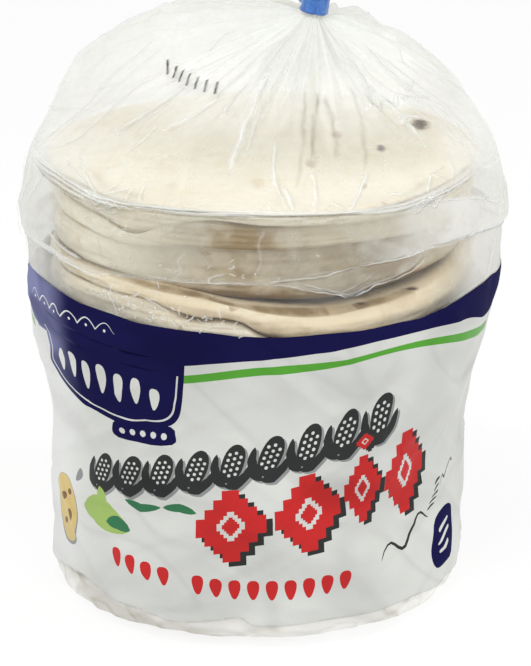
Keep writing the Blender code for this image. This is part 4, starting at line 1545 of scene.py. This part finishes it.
def add_rings(bm, rows, shades):
    """Adds rings of points to the mesh as one closed shape, each with how toasted or shaded it is."""
    layer = bm.verts.layers.float.get("shade") or bm.verts.layers.float.new("shade")
    loops = [[bm.verts.new(p) for p in (row * MM).tolist()] for row in rows]
    count = len(loops[0])
    for loop, values in zip(loops, shades):
        for vert, value in zip(loop, values):
            vert[layer] = float(value)
    for low, high in zip(loops, loops[1:]):
        for k in range(count):
            j = (k + 1) % count
            bm.faces.new((low[k], low[j], high[j], high[k]))
    for loop, upwards in ((loops[0], False), (loops[-1], True)):
        middle = bm.verts.new(sum((v.co for v in loop), Vector()) / count)
        for k in range(count):
            j = (k + 1) % count
            bm.faces.new((loop[k], loop[j], middle) if upwards else (loop[j], loop[k], middle))


def finish_tortillas(name, bm, look):
    mesh = bpy.data.meshes.new(name)
    bm.to_mesh(mesh)
    bm.free()
    return new_object(name, mesh, [look])


LEDGE_TOP = rim_line(
    ((-180, 128.0), (-150, 130.5), (-132, 130.8), (-118, 130.0), (-108, 128.4), (-98, 126.2), (-80, 123.6), (-60, 122.8),
     (-40, 124.2), (-20, 126.0), (10, 127.2), (60, 126.0), (110, 127.5), (150, 127.0))
)
CREVICE = rim_line(
    ((-180, 123.0), (-150, 124.6), (-133, 125.2), (-119, 124.9), (-113, 122.4), (-107, 120.6), (-101, 121.4),
     (-95.5, 120.2), (-91, 116.6), (-80, 114.0), (-40, 114.0), (0, 117.0), (60, 121.0), (110, 119.0), (150, 121.5))
)
LEDGE_RADIUS = rim_line(((-180, 75.4), (-140, 75.7), (-90, 75.5), (-50, 75.4), (0, 75.9), (90, 75.2)))
CREVICE_OPENING = rim_line(
    ((-180, 0.7), (-150, 0.5), (-133, 0.35), (-119, 0.5), (-112, 1.0), (-95, 1.0), (-86, 0.5), (-40, 0.3), (60, 0.6))
)
SECOND_OPENING = rim_line(
    ((-180, 0.5), (-150, 0.55), (-139, 0.35), (-128, 0.15), (-110, 0.1), (-84, 0.25), (-70, 0.2), (-45, 0.1),
     (0, 0.4), (60, 0.7), (120, 0.7))
)
SHADED_FRONT = rim_line(
    ((-180, 0.0), (-116, 0.06), (-107, 0.45), (-97, 0.85), (-86, 0.70), (-76, 0.36), (-62, 0.22), (-50, 0.12),
     (-30, 0.0), (90, 0.0))
)
SHADED_FOOT = rim_line(
    ((-180, 0.1), (-118, 0.15), (-107, 0.45), (-97, 0.66), (-84, 0.56), (-72, 0.60), (-60, 0.92), (-44, 0.9),
     (-34, 0.35), (-22, 0.05), (90, 0.0))
)
RIDGE_PLACE = rim_line(
    ((-180, 0.4), (-130, 0.4), (-118, 0.5), (-112, 0.62), (-106, 0.75), (-98, 0.66), (-90, 0.56), (-77, 0.44),
     (-65, 0.64), (-55, 0.78), (-45, 0.88), (-30, 0.9), (90, 0.6))
)
RIDGE = rim_line(
    ((-180, 0.0), (-140, 0.05), (-125, 0.4), (-112, 0.7), (-100, 0.9), (-50, 1.0), (-36, 0.6), (-20, 0.0), (90, 0.0))
)
FRONT_SHADE = rim_line(
    ((-180, 0.0), (-125, 0.15), (-112, 0.3), (-100, 0.5), (-88, 0.66), (-78, 0.5), (-62, 0.3), (-50, 0.08), (-40, 0.0), (90, 0.0))
)
FIRST_OPENING = rim_line(
    ((-180, 0.6), (-150, 0.6), (-136, 0.5), (-126, 0.3), (-119, 0.06), (-111, 0.06), (-104, 0.4), (-88, 0.45),
     (-70, 0.2), (-56, 0.3), (-44, 0.08), (0, 0.4), (60, 0.7), (120, 0.6))
)
SHELF_TOP = rim_line(((-180, 134.0), (-140, 134.4), (-110, 131.0), (-70, 128.4), (-30, 129.6), (30, 131.0), (100, 132.5)))
SECOND_SEAM = rim_line(
    ((-180, 142.6), (-146, 143.4), (-129, 143.2), (-110, 145.4), (-84, 145.4), (-70, 145.8), (-20, 143.5),
     (60, 144.5), (120, 142.0))
)
FIRST_SEAM = rim_line(
    ((-180, 151.2), (-149, 151.0), (-139, 150.0), (-126, 147.0), (-116, 152.0), (-104, 155.4), (-90, 154.3),
     (-60, 153.6), (0, 151.0), (60, 153.5), (120, 150.5))
)


def offset(line, amount):
    return lambda angle: line(angle) + amount


def make_lower_tortillas(look):
    """The tortillas that the printed film holds, out of sight but for the uppermost."""
    bm = bmesh.new()
    bottom = 0.3
    heights = (9.6, 9.8, 8.6, 9.4, 10.2, 9.0, 9.6, 8.8, 9.9, 9.3, 9.0, 8.5)
    for k, tall in enumerate(heights):
        base, top = bottom, bottom + tall
        radius = 70.2 if k == 0 else 72.0
        add_roll(bm, level(base), level(top - 0.1), level(radius), (float(stack_lean(base)), 0.0), 72, 10 * k)
        bottom = top
    ring = rim_line(((-180, 75.6), (-145, 76.6), (-115, 76.3), (-90, 75.6), (-50, 75.4), (0, 75.0), (90, 74.8)))
    centre = (float(stack_lean(116.0)), 0.0)
    add_roll(
        bm, level(bottom), offset(CREVICE, -0.15), ring, centre, 420, 205, 0.35, float(bottom) + 5.0,
        open_high=CREVICE_OPENING, crust=0.2,
    )
    return finish_tortillas("lower_tortillas", bm, look)


def make_ledge_tortillas(look):
    """The top of the lower group, whose rim shows above the navy band."""
    bm = bmesh.new()
    centre = (float(stack_lean(124.0)), 0.0)
    add_roll(
        bm, CREVICE, LEDGE_TOP, LEDGE_RADIUS, centre, 480, 301, 0.16, 122.4, 0.6, open_low=CREVICE_OPENING, crust=0.12,
        ridge=RIDGE, front_shade=FRONT_SHADE,
    )
    return finish_tortillas("ledge_tortillas", bm, look)


def corner_share(angle):
    """How far the top reaches into the two corners of the film's edge."""
    places = np.degrees(angle) % 360.0
    return np.exp(-(((places - 205.0) / 22.0) ** 2)) + 0.6 * np.exp(-(((places - 326.0) / 18.0) ** 2))


def top_edge(angle):
    """The height of the upper group's rim, which follows the edge of the film over it."""
    return 158.1 + 0.8 * rim_lift(angle)


def make_upper_tortillas(look):
    """The upper group: three thick rolls of tortillas, the lowest set back from the ledge."""
    bm = bmesh.new()
    inset = rim_line(((-180, 74.4), (-140, 74.6), (-112, 72.0), (-80, 69.0), (-40, 69.5), (-10, 72.0), (90, 73.5)))
    foot = offset(SHELF_TOP, -4.0)
    add_roll(bm, level(126.0), foot, offset(inset, -6.0), (-0.8, 1.0), 200, 350, 0.2, painted_shade=SHADED_FOOT)
    add_roll(
        bm, foot, offset(SECOND_SEAM, -0.1), inset, (-0.8, 1.0), 420, 352, 0.25, open_high=SECOND_OPENING, crust=0.2,
        painted_shade=SHADED_FOOT,
    )
    middle = rim_line(((-180, 75.2), (-130, 75.0), (-90, 74.0), (-30, 74.2), (90, 74.6)))
    add_roll(
        bm, SECOND_SEAM, offset(FIRST_SEAM, -0.1), middle, (-0.6, 1.2), 420, 401, 0.25,
        open_low=SECOND_OPENING, open_high=FIRST_OPENING, crust=0.2, painted_shade=SHADED_FRONT,
    )
    upper = rim_line(((-180, 74.6), (-120, 74.2), (-90, 74.9), (-40, 74.6), (90, 74.2)))
    add_roll(
        bm, FIRST_SEAM, top_edge, lambda angle: upper(angle) + 1.5 * corner_share(angle), (-0.2, 1.2), 420, 452, 0.25,
        open_low=FIRST_OPENING, crust=0.2,
    )
    return finish_tortillas("upper_tortillas", bm, look)


def make_top_tortilla(look):
    """The top tortilla, with gentle hollows and blisters."""
    bm = bmesh.new()
    angle = np.linspace(0.0, tau, 260, endpoint=False)
    outer = 75.2 + 0.5 * turn_noise(angle, 0.5, 11, 500) + 0.3 * turn_noise(angle, 0.5, 37, 501)
    outer = outer + 3.0 * corner_share(angle)
    droop = 0.5 * turn_noise(angle, 0.5, 9, 502) + 0.8 * rim_lift(angle)
    rows = []
    for share in (0.3, 0.7, 0.93):
        rows.append(points_at(angle, outer * share, 158.1 + droop * ramp(0.6, 1.0, share), 0.0, 1.2))
    for k in range(9):
        turn = -pi / 2.0 + pi * k / 8.0
        rows.append(points_at(angle, outer - 1.6 + 1.6 * cos(turn), 159.1 + 0.9 * sin(turn) + droop, 0.0, 1.2))
    for share in np.linspace(0.96, 0.04, 56):
        wave = 0.35 * turn_noise(angle, share * 4.0, 13, 503) + 0.22 * turn_noise(angle, share * 9.0, 34, 504)
        blister = 0.45 * ramp(0.35, 0.8, turn_noise(angle, share * 12.0, 46, 505))
        height = 160.0 + (wave + blister) * min(1.0, 2.0 * share) + droop * ramp(0.6, 1.0, share)
        rows.append(points_at(angle, outer * share, height, 0.0, 1.2))
    add_rings(bm, rows, [0.0 * angle] * len(rows))
    return finish_tortillas("top_tortilla", bm, look)


ON_TOP = (1.0, 0.42, 1.0)
ALONG_RIM = (0.75, 1.3, 1.5)
ROUND = (0.75, 1.0, 1.0)
TOASTED = (0.36, 0.22, 0.15)
GOLDEN = (0.62, 0.45, 0.24)
BURNT = (0.07, 0.04, 0.03)
TOP_SPOTS = (
    (56.8, 28.9, 160.0, 4.6, ON_TOP, 1.0, BROWN_CRUST),
    (56.4, 28.2, 160.0, 3.2, ON_TOP, 1.0, BURNT),
    (41.4, -2.0, 160.0, 2.2, ON_TOP, 1.0, BURNT),
    (26.2, 15.8, 160.0, 2.8, ON_TOP, 0.8, TOASTED),
    (16.0, -20.5, 160.0, 2.8, ON_TOP, 0.55, TOASTED),
    (65.6, -16.8, 160.0, 1.8, ON_TOP, 0.75, TOASTED),
    (71.4, -13.2, 160.0, 2.0, ON_TOP, 0.85, TOASTED),
    (52.2, -47.6, 160.0, 1.7, ON_TOP, 0.7, TOASTED),
    (33.9, -46.5, 160.0, 1.6, ON_TOP, 0.65, TOASTED),
    (-2.0, -44.0, 160.0, 3.6, ON_TOP, 0.45, GOLDEN),
    (-31.0, -46.0, 160.0, 2.6, ON_TOP, 0.35, GOLDEN),
)
RIM_SPOTS = (
    (43.5, -57.0, 123.5, 9.0, ALONG_RIM, 0.30, GOLDEN),
    (22.0, -66.0, 123.0, 9.0, ALONG_RIM, 0.25, GOLDEN),
    (50.3, -49.4, 123.7, 2.8, ROUND, 0.9, BROWN_CRUST),
    (50.3, -49.4, 123.7, 1.6, ROUND, 1.0, BURNT),
    (32.8, -61.0, 123.0, 2.6, ROUND, 0.8, BROWN_CRUST),
    (32.8, -61.0, 123.0, 1.4, ROUND, 1.0, BURNT),
    (-33.0, -68.0, 121.5, 5.0, ALONG_RIM, 0.35, GOLDEN),
    (-12.0, -74.0, 120.5, 4.0, ALONG_RIM, 0.40, GOLDEN),
)


# ---------------------------------------------------------------- the tape


def make_tape(look):
    """The creased tape wound round the neck, with its two stuck ends standing out behind."""
    low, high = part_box("neck_tape")
    inner = NECK_RADIUS + 0.45
    width = 9.0
    turns = np.linspace(radians(115.0), radians(115.0) + 2.0 * tau, 150)
    grow = (turns - turns[0]) / (2.0 * tau)
    rows = []
    for share in np.linspace(0.0, 1.0, 15):
        crumple = 0.22 * turn_noise(turns, share * 4.0, 26, 41) + 0.12 * turn_noise(turns, share * 7.0, 60, 42)
        radius = inner + 0.5 * grow + crumple * (0.4 + 0.6 * abs(2.0 * share - 1.0))
        edge = 0.35 * turn_noise(turns, 0.2 + share, 18, 43) * (abs(2.0 * share - 1.0) ** 3)
        rows.append(neck_point(turns, (NECK_LENGTH - width) / 2.0 + width * share + edge, radius))
    band = np.stack(rows)
    flag_rows = []
    flag = np.linspace(0.0, 1.0, 14)
    direction = radians(115.0)
    for share in np.linspace(0.0, 1.0, 15):
        wave = 0.5 * np.sin(5.0 * flag + 2.0 * share) * flag
        reach = inner + 0.5 + 10.5 * flag * (1.0 - 0.06 * share)
        angle = direction + wave / reach
        flag_rows.append(neck_point(angle, (NECK_LENGTH - width) / 2.0 + width * share, reach))
    bm = bmesh.new()
    for part, sheet in (("band", band), ("flag", np.stack(flag_rows))):
        mesh = grid_mesh(part, sheet, closed=False)
        bm.from_mesh(mesh)
        bpy.data.meshes.remove(mesh)
    bmesh.ops.recalc_face_normals(bm, faces=bm.faces)
    mesh = bpy.data.meshes.new("tape_wrap")
    bm.to_mesh(mesh)
    bm.free()
    made = new_object("tape_wrap", mesh, [look])
    thick = made.modifiers.new("thickness", "SOLIDIFY")
    thick.thickness = 0.16 * MM
    thick.offset = 0.0
    return made


# ---------------------------------------------------------------- studio


def make_floor():
    size = 6.0
    bm = bmesh.new()
    bmesh.ops.create_grid(bm, x_segments=8, y_segments=8, size=size)
    mesh = bpy.data.meshes.new("table")
    bm.to_mesh(mesh)
    bm.free()
    made = new_object("table", mesh, [floor_material()])
    made.location.z = -0.15 * MM


def add_softbox(name, place, target, size, power, tint=(1.0, 1.0, 1.0)):
    light = bpy.data.lights.new(name, "AREA")
    light.shape = "RECTANGLE"
    light.size, light.size_y = size
    light.energy = power
    light.color = tint
    made = bpy.data.objects.new(name, light)
    made.location = place
    made.rotation_euler = (Vector(target) - Vector(place)).to_track_quat("-Z", "Y").to_euler()
    bpy.context.scene.collection.objects.link(made)


def make_studio():
    make_floor()
    world = bpy.data.worlds.new("studio")
    bpy.context.scene.world = world
    world.use_nodes = True
    world.node_tree.nodes["Background"].inputs["Color"].default_value = (1.0, 1.0, 1.0, 1.0)
    world.node_tree.nodes["Background"].inputs["Strength"].default_value = 0.76
    middle = (0.0, 0.0, 0.15)
    add_softbox("overhead", (-0.08, -0.38, 1.26), middle, (1.5, 1.2), 3.0)
    add_softbox("top_light", (-0.12, -0.48, 1.12), middle, (0.22, 0.16), 1.9)
    add_softbox("left_strip", (-0.95, -0.35, 0.75), middle, (0.05, 0.9), 1.6)
    add_softbox("right_strip", (0.9, -0.25, 0.8), middle, (0.05, 0.9), 2.5)
    add_softbox("front_left", (-0.60, -0.85, 0.85), middle, (0.035, 0.6), 0.5)
    add_softbox("front_right", (0.55, -0.90, 0.80), middle, (0.035, 0.6), 1.2)


def make_camera():
    """A long lens a metre away, twenty degrees above the table."""
    target = Vector((0.0005, 0.0, 0.09))
    distance, elevation = 1.05, radians(20.0)
    camera = bpy.data.cameras.new("camera")
    camera.lens = 156.5
    camera.sensor_width = 36.0
    made = bpy.data.objects.new("camera", camera)
    made.location = target + Vector((0.0, -cos(elevation), sin(elevation))) * distance
    made.rotation_euler = (radians(90.0) - elevation, 0.0, 0.0)
    bpy.context.scene.collection.objects.link(made)
    bpy.context.scene.camera = made


def main():
    make_camera()
    make_studio()
    scene = bpy.context.scene
    scene.view_settings.view_transform = "Standard"
    scene.cycles.transparent_max_bounces = 24

    film = clear_film_material()
    pieces = {
        "film": [make_printed_film(ink_materials()), make_clear_film(film), make_tail(film)],
        "creases": [
            # White creases: tented doubled film whose milk also serves as painted highlight along the folds.
            make_creases("roof_creases", film, [(roof_film, roof_creases() + slack_creases())]),
            make_creases("wall_creases", film, [(wall_film, wall_creases() + rim_creases())]),
            # Dark transparent strips: painted shadows beside the creases and under the rim, and painted shade along
            # folds.
            make_creases(
                "painted_shadow_creases",
                crease_material("painted shadow crease", (0.50, 0.49, 0.46)),
                [(roof_film, roof_shadow_lines()), (wall_film, wall_shadow_lines())],
            ),
        ],
        "marks": [make_creases("date_marks", crease_material("stamp ink", (0.05, 0.05, 0.06)), [(smooth_roof, date_marks())])],
        "tape": [make_tape(tape_material())],
    }
    dough = tortilla_material("tortilla")
    contents = [
        make_lower_tortillas(dough),
        make_ledge_tortillas(tortilla_material("ledge tortilla", WARM_BRIGHTENED_DOUGH, RIM_SPOTS)),
        make_upper_tortillas(dough),
        make_top_tortilla(tortilla_material("top tortilla", PALE_DOUGH, TOP_SPOTS)),
    ]
    for slot, made in pieces.items():
        for piece in made:
            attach(piece, "root")
    for piece in contents:
        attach(piece, "root")
    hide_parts("bag")
    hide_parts("neck_tape")


main()
